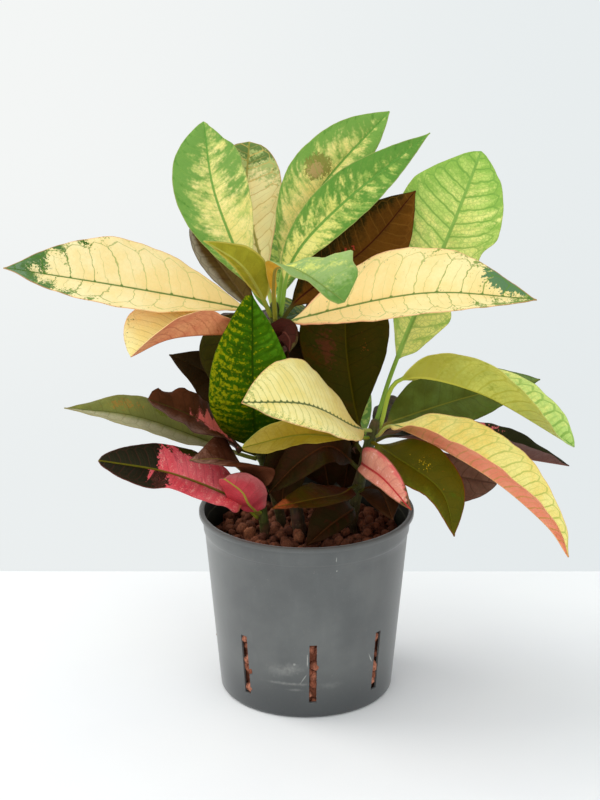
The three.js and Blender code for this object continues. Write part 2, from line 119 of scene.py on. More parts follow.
class Spine:
    """A smooth curve through points, read by shares of its length."""

    def __init__(self, points: Sequence[Point], steps: int = 60) -> None:
        """Samples the curve.

        Args:
            points: what it runs through, from end to end.
            steps: samples between two points.
        """
        knots = np.array(points, float)
        knots = np.vstack([2 * knots[0] - knots[1], knots, 2 * knots[-1] - knots[-2]])
        u = np.linspace(0.0, 1.0, steps, endpoint=False)[:, None]
        runs = [
            0.5 * (2 * b + (c - a) * u + (2 * a - 5 * b + 4 * c - d) * u**2 + (3 * b - a - 3 * c + d) * u**3)
            for a, b, c, d in zip(knots, knots[1:], knots[2:], knots[3:])
        ]
        self.points = np.vstack([*runs, knots[-2:-1]])
        gaps = np.linalg.norm(np.diff(self.points, axis=0), axis=1)
        self.distance = np.concatenate([[0.0], np.cumsum(gaps)])
        self.length = float(self.distance[-1])
        self.slopes = unit(np.gradient(self.points, self.distance, axis=0))

    def at(self, shares: np.ndarray | float) -> tuple[np.ndarray, np.ndarray]:
        """Reads the curve.

        Args:
            shares: places from 0, its start, to 1, its end.

        Returns:
            The points there and the directions there.
        """
        where = np.atleast_1d(shares) * self.length
        points = np.stack([np.interp(where, self.distance, self.points[:, i]) for i in range(3)], axis=-1)
        slopes = np.stack([np.interp(where, self.distance, self.slopes[:, i]) for i in range(3)], axis=-1)
        return points, unit(slopes)

    def share_at_height(self, height: float) -> float:
        """Returns the share at which a curve that climbs all the way is at a height."""
        return float(np.interp(height, self.points[:, 2], self.distance)) / self.length


def mesh_from(name: str, points: np.ndarray, faces: Sequence[Sequence[int]]) -> bpy.types.Mesh:
    """Makes a smooth-shaded mesh.

    Args:
        name: what it is called.
        points: its vertices, in millimetres.
        faces: each face's vertices, in turn.

    Returns:
        The mesh, in metres.
    """
    mesh = bpy.data.meshes.new(name)
    mesh.from_pydata((np.asarray(points) * MM).tolist(), [], [list(f) for f in faces])
    mesh.polygons.foreach_set("use_smooth", [True] * len(mesh.polygons))
    mesh.update()
    return mesh


def note(mesh: bpy.types.Mesh, name: str, values: np.ndarray) -> None:
    """Keeps a number or a vector for each vertex under a name that materials read.

    Args:
        mesh: the mesh.
        name: what the values are called.
        values: one number or one vector for each vertex.
    """
    kind = "FLOAT" if values.ndim == 1 else "FLOAT_VECTOR"
    layer = mesh.attributes.new(name, kind, "POINT")
    layer.data.foreach_set("value" if kind == "FLOAT" else "vector", np.ascontiguousarray(values, np.float32).ravel())


def put(name: str, data: bpy.types.ID) -> bpy.types.Object:
    """Puts an object into the scene.

    Args:
        name: what it is called.
        data: its mesh, lamp or camera.

    Returns:
        The object.
    """
    made = bpy.data.objects.new(name, data)
    bpy.context.scene.collection.objects.link(made)
    return made


def stand_in_for(
    node: str, name: str, mesh: bpy.types.Mesh, skins: Iterable[bpy.types.Material]
) -> bpy.types.Object:
    """Puts a finished piece in the place of a CAD node.

    Args:
        node: the CAD node that it stands for.
        name: the piece's name.
        mesh: its mesh, with its place in it.
        skins: its materials, in the order of the mesh's material numbers.

    Returns:
        The piece.
    """
    for skin in skins:
        mesh.materials.append(skin)
    piece = put(name, mesh)
    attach(piece, ROOT)
    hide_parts(node)
    LOG.info("%s: %d faces, in the place of %s", name, len(mesh.polygons), node)
    return piece


class Board:
    """Adds nodes to one node tree and joins their sockets."""

    def __init__(self, tree: bpy.types.NodeTree) -> None:
        """Keeps the tree that the nodes go into."""
        self.tree = tree

    def add(self, kind: str, inputs: dict[str | int, Operand] | None = None, **settings: object) -> bpy.types.Node:
        """Adds a node.

        Args:
            kind: its type, as Blender names it.
            inputs: what goes into its sockets: another socket, a value or a colour's code.
            settings: its own options.

        Returns:
            The node.
        """
        made = self.tree.nodes.new(kind)
        for name, value in settings.items():
            setattr(made, name, value)
        self.fill(made, inputs or {})
        return made

    def fill(self, node: bpy.types.Node, inputs: dict[str | int, Operand]) -> None:
        """Joins each named socket of a node to another socket, or sets the socket's own value.

        Args:
            node: the node.
            inputs: what goes into its sockets.
        """
        for key, value in inputs.items():
            if isinstance(value, bpy.types.NodeSocket):
                self.tree.links.new(value, node.inputs[key])
            else:
                node.inputs[key].default_value = tint(value) if isinstance(value, str) else value

    def math(self, operation: str, *operands: Operand) -> Socket:
        """Returns the result of a calculation on numbers."""
        return self.add("ShaderNodeMath", dict(enumerate(operands)), operation=operation).outputs[0]

    def total(self, *terms: Operand) -> Socket:
        """Returns the sum of numbers."""
        return reduce(lambda so_far, term: self.math("ADD", so_far, term), terms)

    def minus(self, number: Operand, less: Operand) -> Socket:
        """Returns the first number less the second."""
        return self.math("SUBTRACT", number, less)

    def times(self, number: Operand, factor: Operand) -> Socket:
        """Returns the product of two numbers."""
        return self.math("MULTIPLY", number, factor)

    def over(self, number: Operand, divisor: Operand) -> Socket:
        """Returns the first number divided by the second."""
        return self.math("DIVIDE", number, divisor)

    def size(self, number: Operand) -> Socket:
        """Returns a number without its sign."""
        return self.math("ABSOLUTE", number)

    def most(self, number: Operand, other: Operand) -> Socket:
        """Returns the larger of two numbers."""
        return self.math("MAXIMUM", number, other)

    def away(self, x: Operand, y: Operand) -> Socket:
        """Returns how far a point in a plane is from the plane's origin."""
        return self.math("SQRT", self.total(self.times(x, x), self.times(y, y)))

    def tent(self, phase: Operand) -> Socket:
        """Returns the number that is 0 at each whole number and rises evenly to 1 halfway between two."""
        return self.minus(1.0, self.size(self.minus(self.times(self.math("FRACT", phase), 2.0), 1.0)))

    def rise(self, value: Operand, low: Operand, high: Operand, start: float = 0.0, end: float = 1.0) -> Socket:
        """Maps a number smoothly.

        Args:
            value: the number.
            low: where the rise begins.
            high: where it is over.
            start: the result up to low.
            end: the result from high on.

        Returns:
            The mapped number.
        """
        inputs = {"Value": value, "From Min": low, "From Max": high, "To Min": start, "To Max": end}
        return self.add("ShaderNodeMapRange", inputs, interpolation_type="SMOOTHSTEP").outputs[0]

    def blend(self, share: Operand, under: Operand, over: Operand) -> Socket:
        """Returns the colour that is the first at share 0 and the second at share 1."""
        made = self.add("ShaderNodeMix", {0: share, 6: under, 7: over}, data_type="RGBA")
        return made.outputs[2]

    def vector(self, x: Operand, y: Operand, z: Operand) -> Socket:
        """Returns the vector of three numbers."""
        return self.add("ShaderNodeCombineXYZ", {0: x, 1: y, 2: z}).outputs[0]

    def parts(self, vector: Socket) -> tuple[Socket, Socket, Socket]:
        """Returns the three numbers of a vector."""
        made = self.add("ShaderNodeSeparateXYZ", {0: vector})
        return made.outputs[0], made.outputs[1], made.outputs[2]

    def change(self, operation: str, inputs: dict[str | int, Operand]) -> Socket:
        """Returns the result of a calculation on vectors."""
        return self.add("ShaderNodeVectorMath", inputs, operation=operation).outputs[0]

    def chance(self, kind: str, inputs: dict[str | int, Operand]) -> bpy.types.Node:
        """Returns the node that draws a value of a kind by chance, the same for the same seed."""
        return self.add("FunctionNodeRandomValue", inputs, data_type=kind)

    def noted(self, name: str) -> Socket:
        """Returns the number that is noted on the mesh under a name."""
        return self.add("ShaderNodeAttribute", attribute_name=name).outputs["Fac"]

    def noted_parts(self, name: str) -> tuple[Socket, Socket, Socket]:
        """Returns the three numbers that are noted on the mesh under a name."""
        return self.parts(self.add("ShaderNodeAttribute", attribute_name=name).outputs["Vector"])

    def place(self) -> Socket:
        """Returns the place on the object, in metres."""
        return self.add("ShaderNodeTexCoord").outputs["Object"]

    def noise(self, vector: Operand, scale: Operand, detail: float = 2.0, rough: float = 0.5) -> Socket:
        """Returns soft noise between 0 and 1.

        Args:
            vector: where it is read.
            scale: how many lumps there are to a unit.
            detail: how many finer layers it has.
            rough: how strong they are.

        Returns:
            The number.
        """
        inputs = {"Vector": vector, "Scale": scale, "Detail": detail, "Roughness": rough}
        return self.add("ShaderNodeTexNoise", inputs).outputs[0]

    def bump(self, height: Socket, strength: float, distance: float, invert: bool = False) -> Socket:
        """Makes relief.

        Args:
            height: how high the surface is, from 0 to 1.
            strength: how much of it shows.
            distance: how high 1 is, in metres.
            invert: whether high and low change places.

        Returns:
            The surface's direction.
        """
        inputs = {"Height": height, "Strength": strength, "Distance": distance}
        return self.add("ShaderNodeBump", inputs, invert=invert).outputs[0]


def new_material(name: str) -> tuple[bpy.types.Material, Board, bpy.types.Node]:
    """Starts a material.

    Args:
        name: what it is called.

    Returns:
        The material, the board of its nodes and its surface shader.
    """
    material = bpy.data.materials.new(name)
    material.use_nodes = True
    shader = material.node_tree.nodes["Principled BSDF"]
    return material, Board(material.node_tree), shader


def number_group(
    name: str, given: Iterable[str], results: Iterable[str]
) -> tuple[bpy.types.NodeTree, Board, bpy.types.bpy_prop_collection]:
    """Starts a group of shader nodes that takes numbers and gives numbers.

    Args:
        name: what it is called.
        given: the names of the numbers that go in.
        results: the names of the numbers that come out.

    Returns:
        The group, the board of its nodes and the numbers that go in.
    """
    tree = bpy.data.node_groups.new(name, "ShaderNodeTree")
    for way, sockets in (("INPUT", given), ("OUTPUT", results)):
        for socket in sockets:
            tree.interface.new_socket(name=socket, in_out=way, socket_type="NodeSocketFloat")
    b = Board(tree)
    return tree, b, b.add("NodeGroupInput").outputs


# ---------------------------------------------------------------- how leaves are coloured

BLOTCH_SEED = 11.3  # how far apart in the noise two blotches of a blade are
NET_SIZE = 2.6  # the size of a mesh of the finest veins
SHEEN = "#fff0b4"  # the colour of a blade's gloss


@dataclass(frozen=True)
class Blotch:
    """A colour that lies over a blade in patches.

    It shows where bias and the other terms add up to more than zero. Tip and base are strongest at the blade's ends,
    margin at its edges and left on its left half. Between is strongest in the fields between side veins, or along the
    veins where it is below zero. Near is strongest at one place, a share of the length and of the half width, and is
    over at its reach. Grain is noise of the given size that runs along the side veins, speckle is even noise with
    lumps as large as fleck, and step differs from field to field. Soft is how slowly the patch fades at its rim.
    """

    colour: str
    bias: float = -0.4
    tip: float = 0.0
    tip_power: float = 3.0
    base: float = 0.0
    margin: float = 0.0
    left: float = 0.0
    between: float = 0.0
    near: float = 0.0
    place: tuple[float, float] = (0.5, 0.0)
    reach: tuple[float, float] = (0.2, 0.5)
    grain: float = 0.5
    size: float = 9.0
    speckle: float = 0.2
    fleck: float = 2.0
    step: float = 0.0
    soft: float = 0.3
    share: float = 1.0


class BlotchTree:
    """The node group that works out where a blotch shows."""

    NUMBERS = (
        "bias", "tip", "tip_power", "base", "margin", "left", "between", "near", "place_t", "place_v",
        "reach_t", "reach_v", "grain", "size", "speckle", "fleck", "step", "soft", "seed",
    )

    def build(self) -> bpy.types.NodeTree:
        """Builds the group.

        Returns:
            The group: one input for each number, and how much of the blotch shows as its output.
        """
        tree, b, given = number_group("blade_blotch", self.NUMBERS, ["share"])
        s, x, own = b.noted_parts("place")
        t, v, _ = b.noted_parts("share")
        phase = b.noted("vein")
        t = b.most(t, 0.0)
        seed = b.total(own, given["seed"])
        grain_place = b.vector(b.times(phase, 7.0), b.times(x, 0.4), seed)
        grain = b.noise(grain_place, b.over(1.0, given["size"]), 2.0, 0.55)
        speckle = b.noise(b.vector(s, x, b.total(seed, 3.3)), b.over(1.0, given["fleck"]), 2.0, 0.6)
        cell = b.vector(b.math("FLOOR", phase), b.math("SIGN", v), seed)
        step = b.add("ShaderNodeTexWhiteNoise", {"Vector": cell}, noise_dimensions="3D").outputs["Value"]
        off_t = b.over(b.minus(t, given["place_t"]), given["reach_t"])
        off_v = b.over(b.minus(v, given["place_v"]), given["reach_v"])
        shown = {
            "tip": b.math("POWER", t, given["tip_power"]),
            "base": b.math("POWER", b.most(b.minus(1.0, t), 0.0), 2.0),
            "margin": b.math("POWER", b.size(v), 2.0),
            "left": b.times(v, -1.0),
            "between": b.minus(b.tent(phase), 0.5),
            "near": b.rise(b.away(off_t, off_v), 1.0, 0.0),
            "grain": b.times(b.minus(grain, 0.5), 3.0),
            "speckle": b.times(b.minus(speckle, 0.5), 3.0),
            "step": b.minus(step, 0.5),
        }
        term = b.total(given["bias"], *(b.times(given[name], share) for name, share in shown.items()))
        low = b.times(given["soft"], -1.0)
        b.add("NodeGroupOutput", {"share": b.rise(term, low, given["soft"])})
        return tree


class VeinTree:
    """The node group that draws a blade's veins."""

    def build(self) -> bpy.types.NodeTree:
        """Builds the group.

        Returns:
            The group: sizes go in, and how much of the midrib, side veins and net shows and the relief come out.
        """
        sizes = ("spacing", "width", "start", "minor", "midrib_width", "teeth")
        tree, b, given = number_group("blade_veins", sizes, ("midrib", "side", "net", "relief"))
        s, x, own = b.noted_parts("place")
        t, v, half = b.noted_parts("share")
        reach = b.size(v)
        spot = b.vector(s, x, own)
        wander = b.times(b.minus(b.noise(spot, 0.22, 2.0), 0.5), 0.28)
        phase = b.total(b.noted("vein"), wander)
        apart = b.tent(phase)
        halfway = b.times(given["spacing"], 0.5)
        fine, full = b.times(given["width"], 0.35), given["width"]

        main = b.rise(b.times(apart, halfway), fine, full, 1.0, 0.0)
        main = b.times(main, b.rise(reach, 0.7, 0.86, 1.0, 0.25))
        minor_gap = b.times(b.minus(1.0, apart), halfway)
        minor = b.rise(minor_gap, b.times(fine, 0.5), b.times(full, 0.8), given["minor"], 0.0)
        minor = b.times(minor, b.rise(reach, 0.6, 0.8, 1.0, 0.0))
        arch_at = b.total(0.7, b.times(0.19, b.math("POWER", apart, 0.6)))
        arch_gap = b.times(b.size(b.minus(reach, arch_at)), half)
        arch = b.rise(arch_gap, fine, full, 0.85, 0.0)
        side = b.most(main, b.most(minor, arch))
        side = b.times(side, b.times(b.rise(t, 0.02, 0.14), b.rise(t, 0.1, 0.8, given["start"], 1.0)))

        mesh_of_veins = {"Vector": spot, "Scale": b.over(1.0, NET_SIZE)}
        cells = b.add("ShaderNodeTexVoronoi", mesh_of_veins, feature="DISTANCE_TO_EDGE").outputs["Distance"]
        net = b.rise(cells, 0.02, 0.12, 1.0, 0.0)

        ticks = b.rise(b.times(apart, halfway), 0.2, 1.3, 1.0, 0.0)
        rib_half = b.times(given["midrib_width"], b.math("MULTIPLY_ADD", t, -0.28, 0.56))
        rib_half = b.total(rib_half, b.times(given["teeth"], ticks))
        midrib = b.rise(b.size(x), b.times(rib_half, 0.6), rib_half, 1.0, 0.0)
        relief = b.minus(1.0, b.most(b.times(side, 0.7), b.times(net, 0.25)))
        b.add("NodeGroupOutput", {"midrib": midrib, "side": side, "net": net, "relief": relief})
        return tree


@dataclass(frozen=True)
class BladeFinish:
    """How one side of a blade looks: its ground and the colours over it, its veins, rim and gloss.

    Side veins start faintly, at the share vein_start of their strength, and have the colour vein_tip near the blade's
    tip, where one is given. Minor is the strength of the veins between them, and teeth how far the midrib's colour
    runs out into the side veins. Back turns the relief over for the under side.
    """

    ground: str
    cloud: str
    blotches: tuple[Blotch, ...] = ()
    vein: str = "#4a6a20"
    vein_tip: str = ""
    vein_start: float = 0.6
    minor: float = 0.45
    vein_share: float = 0.4
    vein_width: float = 0.55
    net_share: float = 0.1
    midrib: str = "#3f6a22"
    midrib_share: float = 0.9
    midrib_width: float = 1.6
    teeth: float = 0.0
    rim: str = "#b98a5a"
    rim_width: float = 0.7
    rim_share: float = 0.5
    stalk: str = "#8fa040"
    roughness: float = 0.5
    gloss: float = 0.25
    relief: float = 0.25
    back: bool = False

    def on(self, ground: str, cloud: str, *blotches: Blotch, **changes: float | str | bool) -> "BladeFinish":
        """Returns this finish on another ground, with other clouds and blotches and what else changes."""
        return replace(self, ground=ground, cloud=cloud, blotches=blotches, **changes)

    def material(
        self, name: str, spacing: float, blotch_tree: bpy.types.NodeTree, vein_tree: bpy.types.NodeTree
    ) -> bpy.types.Material:
        """Makes the material.

        Args:
            name: what it is called.
            spacing: millimetres between two side veins.
            blotch_tree: the group that places a blotch.
            vein_tree: the group that draws the veins.

        Returns:
            The material.
        """
        material, b, shader = new_material(name)
        s, x, own = b.noted_parts("place")
        t, v, half = b.noted_parts("share")
        spot = b.vector(s, x, own)
        colour = b.blend(b.rise(b.noise(spot, 0.07, 3.0, 0.6), 0.35, 0.65), self.ground, self.cloud)
        for number, blotch in enumerate(self.blotches):
            values = {key: getattr(blotch, key) for key in BlotchTree.NUMBERS if hasattr(blotch, key)}
            values |= dict(zip(("place_t", "place_v", "reach_t", "reach_v"), (*blotch.place, *blotch.reach)))
            values["seed"] = BLOTCH_SEED * number
            share = b.add("ShaderNodeGroup", node_tree=blotch_tree)
            b.fill(share, values)
            colour = b.blend(b.times(share.outputs[0], blotch.share), colour, blotch.colour)
        veins = b.add("ShaderNodeGroup", node_tree=vein_tree)
        sizes = {"spacing": spacing, "width": self.vein_width, "start": self.vein_start, "minor": self.minor}
        b.fill(veins, sizes | {"midrib_width": self.midrib_width, "teeth": self.teeth})
        net = b.times(veins.outputs["net"], self.net_share)
        side = b.times(veins.outputs["side"], self.vein_share)
        vein = b.blend(b.rise(t, 0.35, 0.8), self.vein, self.vein_tip or self.vein)
        colour = b.blend(b.most(net, side), colour, vein)
        colour = b.blend(b.times(veins.outputs["midrib"], self.midrib_share), colour, self.midrib)
        edge = b.times(b.minus(1.0, b.size(v)), half)
        rim = b.times(b.rise(edge, 0.3 * self.rim_width, self.rim_width, 1.0, 0.0), self.rim_share)
        colour = b.blend(rim, colour, self.rim)
        colour = b.blend(b.rise(t, -0.02, 0.05, 1.0, 0.0), colour, self.stalk)
        fine = b.noise(spot, 0.9, 2.0)
        height = b.math("MULTIPLY_ADD", fine, 0.25, veins.outputs["relief"])
        b.fill(shader, {
            "Base Color": colour,
            "Roughness": b.rise(fine, 0.2, 0.8, self.roughness - 0.05, self.roughness + 0.07),
            "Specular IOR Level": self.gloss,
            "Specular Tint": SHEEN,
            "Normal": b.bump(height, self.relief, 0.0006, self.back),
        })
        return material


PLAIN = BladeFinish("#9aa94a", "#8a9a3e")
CREAM = BladeFinish(ground="#fdecb4", cloud="#fae2a0", vein="#86a04a", vein_share=0.75, vein_width=0.5,
    net_share=0.04, midrib="#4f7a2c", midrib_width=2, teeth=0.8, rim="#e0906a", rim_width=0.8, stalk="#a9b45a",
    gloss=0.3)
GREENS = BladeFinish(ground="#fdec9c", cloud="#f4e288", vein="#7fa648", vein_share=0.45, vein_width=0.5,
    midrib="#6aa044", midrib_width=2.2, rim="#a8a860", rim_width=0.6, stalk="#7da23e")
NIGHTS = BladeFinish(ground="#241a06", cloud="#33180a", vein="#1c1204", midrib="#4a2a14", rim="#2c120a",
    stalk="#4a4a1c", gloss=0.08)


class Skin(Enum):
    """The finishes that the sides of the leaves have."""

    CREAM_LEFT = CREAM.on("#fdecb4", "#fae2a0",
        Blotch("#f8d68e", -0.35, base=1.2, grain=0.1, soft=0.5, share=0.8),
        Blotch("#5f8a30", -1, tip=1.2, margin=0.5, between=-0.4, grain=0.4, size=3, speckle=0.6, fleck=1.1, soft=0.12,
            share=0.85),
        Blotch("#2f5c14", -1.3, between=-0.4, near=1.15, place=(0.7, 0.9), reach=(0.12, 0.45), grain=0.4, size=3,
            speckle=0.6, fleck=1.2, soft=0.1),
        Blotch("#4a7038", -1.4, tip=2.6, tip_power=5.5, margin=0.6, between=-0.6, grain=0.4, size=3, speckle=0.6,
            fleck=1.2, soft=0.12),
        Blotch("#6f8c6c", -1, tip=1.7, tip_power=7, grain=0.7, size=3, speckle=0.5, share=0.8),
        Blotch("#f0e2a0", -1.35, tip=0.5, grain=0.2, size=3, speckle=1.1, fleck=1.8, soft=0.1, share=0.9),
        vein="#90aa52", vein_tip="#4a7a1c", vein_start=0.45)
    CREAM_RIGHT = CREAM.on("#fae8aa", "#f5dd98",
        Blotch("#f8d68e", -0.35, base=1.2, grain=0.1, soft=0.5, share=0.8),
        Blotch("#6a8c34", -0.88, tip=1.1, tip_power=4, margin=0.5, between=-0.35, grain=0.4, size=3, speckle=0.6,
            fleck=1.1, soft=0.12, share=0.85),
        Blotch("#567c54", -1.15, tip=1.6, tip_power=16, between=-0.3, near=2.7, place=(0.87, -0.8),
            reach=(0.14, 0.95), grain=1.5, size=1.6, speckle=0.8, fleck=1.1, soft=0.2),
        Blotch("#e0605a", -1.35, base=0.7, margin=1, grain=0.1, speckle=0.1, soft=0.25, share=0.6),
        vein="#90aa52", vein_tip="#5a8628", vein_start=0.45)
    CREAM_SMALL = CREAM.on("#fff4b0", "#ffec9c",
        Blotch("#7a9440", -1.05, tip=0.5, margin=0.35, size=4, speckle=0.7, fleck=1.2, soft=0.2, share=0.8),
        Blotch("#4f7048", -1.2, near=1, place=(0.9, 0.8), grain=0.4, size=3, speckle=0.6, fleck=1.2, soft=0.12),
        vein="#c4b468", minor=0.7, vein_share=0.45, midrib_width=1)
    CREAM_FINE = CREAM.on("#fcf0a8", "#f4e28c",
        Blotch("#d8b04c", -0.85, base=1.5, grain=0.1, soft=0.5, share=0.7),
        Blotch("#7d9a4a", -0.8, tip=0.9, tip_power=6, margin=0.45, left=0.15, between=-0.4, size=2.5, speckle=0.6,
            fleck=0.9, soft=0.2, share=0.75),
        vein="#d8cc7c", vein_tip="#cfc878", minor=0, midrib="#3c5a28", teeth=0.9)
    BUTTER = CREAM.on("#fff2b4", "#ffeaa6",
        Blotch("#fff3b4", -0.25, tip=0.4, base=-0.6, between=0.4, size=4, soft=0.4, share=0.85),
        Blotch("#98b464", -0.95, tip=2, tip_power=3.5, margin=0.3, grain=0.6, size=4, speckle=0.5, fleck=1.5,
            soft=0.35, share=0.8),
        Blotch("#55783a", -1.4, tip=2, tip_power=3.5, margin=0.3, grain=0.7, size=4, speckle=0.6, fleck=1.4, soft=0.2,
            share=0.9),
        Blotch("#e8a468", -1.2, base=0.6, margin=0.4, speckle=0.9, fleck=1.2, soft=0.14, share=0.6),
        vein="#d8b868", midrib="#a9a050")
    YELLOW_CELLS = CREAM.on("#fff39c", "#fce483",
        Blotch("#517337", -1.2, tip=1.3, tip_power=14, grain=0.2, speckle=0.3, soft=0.12),
        vein="#abbb54", vein_width=0.8, net_share=0.2)
    GREEN_LEFT = GREENS.on("#fdec9c", "#f4e288",
        Blotch("#bccb6c", -0.25, tip=0.7, margin=0.5, left=0.35, between=-0.2, grain=0.7, size=3, speckle=0.45,
            fleck=1.4, soft=0.45, share=0.85),
        Blotch("#629640", -0.95, tip=1.6, tip_power=2.2, margin=0.85, left=0.6, between=-0.25, near=0.8,
            place=(0.62, 0.6), reach=(0.3, 0.6), grain=0.85, size=3, speckle=0.35, fleck=1.5, soft=0.5, share=0.92),
        Blotch("#3f7a26", -1.3, tip=0.7, margin=0.7, left=0.2, grain=1, size=2.5, speckle=0.4, fleck=1.4, share=0.6),
        Blotch("#e6e28c", -1.15, between=0.3, grain=0.3, speckle=1, fleck=1, soft=0.12, share=0.6))
    GREEN_MIDDLE = GREENS.on("#fdec9c", "#f4e288",
        Blotch("#bccb6c", -0.2, tip=0.7, margin=0.5, grain=0.7, size=3, speckle=0.45, fleck=1.4, soft=0.45,
            share=0.85),
        Blotch("#62963c", -0.85, tip=1.5, tip_power=2.4, margin=1.15, between=-0.2, grain=0.95, size=3, speckle=0.35,
            fleck=1.5, soft=0.48, share=0.92),
        Blotch("#3f7a26", -1.3, tip=0.7, margin=0.8, grain=1, size=2.5, speckle=0.4, fleck=1.4, share=0.6),
        Blotch("#e6e28c", -1.15, between=0.3, grain=0.3, speckle=1, fleck=1, soft=0.12, share=0.6),
        Blotch("#82803a", -0.9, near=2, place=(0.56, -0.4), reach=(0.12, 0.55), grain=0.3, speckle=0.7, fleck=1.2,
            soft=0.2, share=0.9),
        Blotch("#c8a070", -1, near=1.6, place=(0.54, -0.38), reach=(0.08, 0.4), grain=0.3, speckle=0.9, fleck=1.2,
            soft=0.12, share=0.6))
    GREEN_RIGHT = GREENS.on("#eee688", "#dfdc74",
        Blotch("#8cb050", 0.2, base=-1, margin=0.3, grain=0.8, size=3, speckle=0.45, fleck=1.4, soft=0.4, share=0.9),
        Blotch("#528a32", -0.02, tip=0.7, base=-0.8, margin=0.75, left=0.25, grain=0.95, size=3, speckle=0.4,
            fleck=1.4, soft=0.42, share=0.92),
        Blotch("#3a6c22", -1.1, tip=0.5, margin=0.7, grain=1, size=2.5, speckle=0.4, fleck=1.4, share=0.6),
        Blotch("#d8dc80", -1.1, between=0.2, grain=0.3, speckle=1, fleck=1, soft=0.2, share=0.5),
        vein="#5f8a38")
    LIME_GREEN = GREENS.on("#c5d46c", "#aecb5c",
        Blotch("#63983c", -0.1, tip=0.5, margin=0.4, between=0.3, grain=0.6, size=5, speckle=0.4, soft=0.2))
    LIME_HIGH = GREENS.on("#eef08e", "#e4e880",
        Blotch("#b6d468", -0.25, tip=0.9, margin=0.4, left=0.2, between=-0.35, grain=0.8, size=4, speckle=0.4,
            fleck=1.4, soft=0.45, share=0.9),
        Blotch("#94be52", -0.85, tip=1.1, margin=0.6, between=-0.3, grain=0.7, size=4, speckle=0.4, fleck=1.4,
            soft=0.35),
        vein="#74a444", vein_share=0.8, vein_width=0.9, net_share=0.35, midrib="#86b452", midrib_width=3.6)
    LIME_CELLS = GREENS.on("#f8f693", "#dae87e",
        Blotch("#c4e080", -0.3, tip=0.8, grain=0.4, size=5, speckle=0.3, soft=0.4),
        vein="#86af4f", vein_share=0.8, vein_width=1.2, net_share=0.2)
    TURNED_GREEN = GREENS.on("#cbd06f", "#bec96b",
        # painted sheen: this pale grey-green patch stands in for gloss on the blade's right half
        Blotch("#b4c294", -0.8, near=1.1, place=(0.45, 0.55), reach=(0.45, 0.6), grain=0.2, soft=0.4, share=0.7),
        Blotch("#90ab68", 0.05, tip=0.5, margin=0.4, left=-0.35, grain=0.6, size=4, speckle=0.4, fleck=1.4),
        Blotch("#648e41", -0.95, tip=1.4, left=-0.2, grain=0.4, size=4, speckle=0.3),
        Blotch("#e8e474", -1, near=1.25, place=(0.42, -0.18), reach=(0.5, 0.42), size=3, speckle=0.8, fleck=1.4,
            share=0.85),
        midrib="#7d9649")
    BOTTLE = PLAIN.on("#2f4f02", "#396103",
        Blotch("#467610", -0.5, tip=0.3, left=-0.6, grain=0.9, size=5, speckle=0.4, soft=0.35, share=0.75),
        Blotch("#9a970b", -0.35, tip=-0.35, margin=0.1, left=0.42, between=0.5, size=3, speckle=0.95, fleck=1.8,
            share=0.8),
        Blotch("#1c3a01", -0.6, base=1.3, size=5, speckle=0.4, share=0.7),
        vein="#1f3e01", minor=0.1, vein_share=0.45, vein_width=1.3, net_share=0.12, midrib="#234003", midrib_width=2,
        rim="#3a590b", stalk="#5a7617", gloss=0.04)
    DARK_MIDDLE = NIGHTS.on("#313000", "#3a3201",
        Blotch("#4d2d03", -0.5, tip=0.3, left=0.45, grain=0.6, size=6, speckle=0.4, share=0.8),
        Blotch("#642c1c", -0.9, near=1.1, place=(0.5, -0.45), reach=(0.24, 0.5), grain=0.8, size=4, speckle=0.6,
            soft=0.35, share=0.7),
        Blotch("#96481c", -1.3, near=0.6, place=(0.5, 0.4), reach=(0.35, 0.6), grain=0.2, speckle=1.2, fleck=1.6,
            soft=0.1, share=0.7),
        midrib="#4d4401", midrib_width=1.4)
    NIGHT = NIGHTS.on("#241a06", "#33180a",
        Blotch("#2f2a07", -0.5, margin=0.5, speckle=0.3, share=0.7),
        Blotch("#6d2217", -0.95, grain=0.6, size=5, speckle=0.6, fleck=2.2, soft=0.15, share=0.7))
    NIGHT_RED = NIGHTS.on("#241a06", "#33180a",
        Blotch("#40140a", -0.4, between=0.5, grain=0.6, size=5, speckle=0.3, soft=0.25, share=0.8),
        Blotch("#963e34", -1.1, size=5, speckle=0.7, fleck=2.2, soft=0.12, share=0.7))
    BLACK = NIGHTS.on("#1b0f02", "#251505", midrib="#2c1c07", gloss=0.12)
    MAROON = NIGHTS.on("#33120e", "#431c18",
        Blotch("#6f6a3a", -0.9, tip=0.7, tip_power=2, left=0.6, grain=0.3, soft=0.2, share=0.8),
        midrib="#6a3a30")
    MAHOGANY = NIGHTS.on("#573308", "#643d0c",
        Blotch("#764814", -0.7, tip=0.4, left=-0.6, size=5, speckle=0.3, soft=0.4, share=0.6),
        # painted shade: this near-black patch over the left half stands in for shadow on that half
        Blotch("#1f1c02", -0.35, tip=-0.5, left=1.1, grain=0.4, size=6, share=0.95),
        Blotch("#b3382d", -1.3, between=0.3, near=1.3, place=(0.45, -0.25), reach=(0.16, 0.4), size=4, speckle=0.6,
            soft=0.12, share=0.8),
        Blotch("#626741", -1.35, between=0.6, near=0.95, place=(0.55, -0.5), reach=(0.35, 0.5), grain=0.7, size=4,
            share=0.6),
        vein="#80501c", vein_tip="#80581f", minor=0.2, midrib="#441709", midrib_width=1.4)
    SMOKE = NIGHTS.on("#625027", "#57401e",
        # painted sheen: the pale grey band along the left half, margin and tip stands in for gloss on the dark brown
        Blotch("#b0ab98", -0.9, tip=0.4, margin=0.5, left=1, grain=0.15, speckle=0.1, soft=0.35, share=0.75),
        midrib="#725d39")
    SPOTTED_OLIVE = NIGHTS.on("#252601", "#332f02",
        Blotch("#796f0b", -0.9, margin=0.4, grain=0.3, speckle=0.8, fleck=1.8, soft=0.12, share=0.8),
        Blotch("#a9381c", -1.2, margin=0.3, grain=0.2, speckle=0.9, fleck=2.4, soft=0.08, share=0.9),
        midrib="#403a07", stalk="#5c5414")
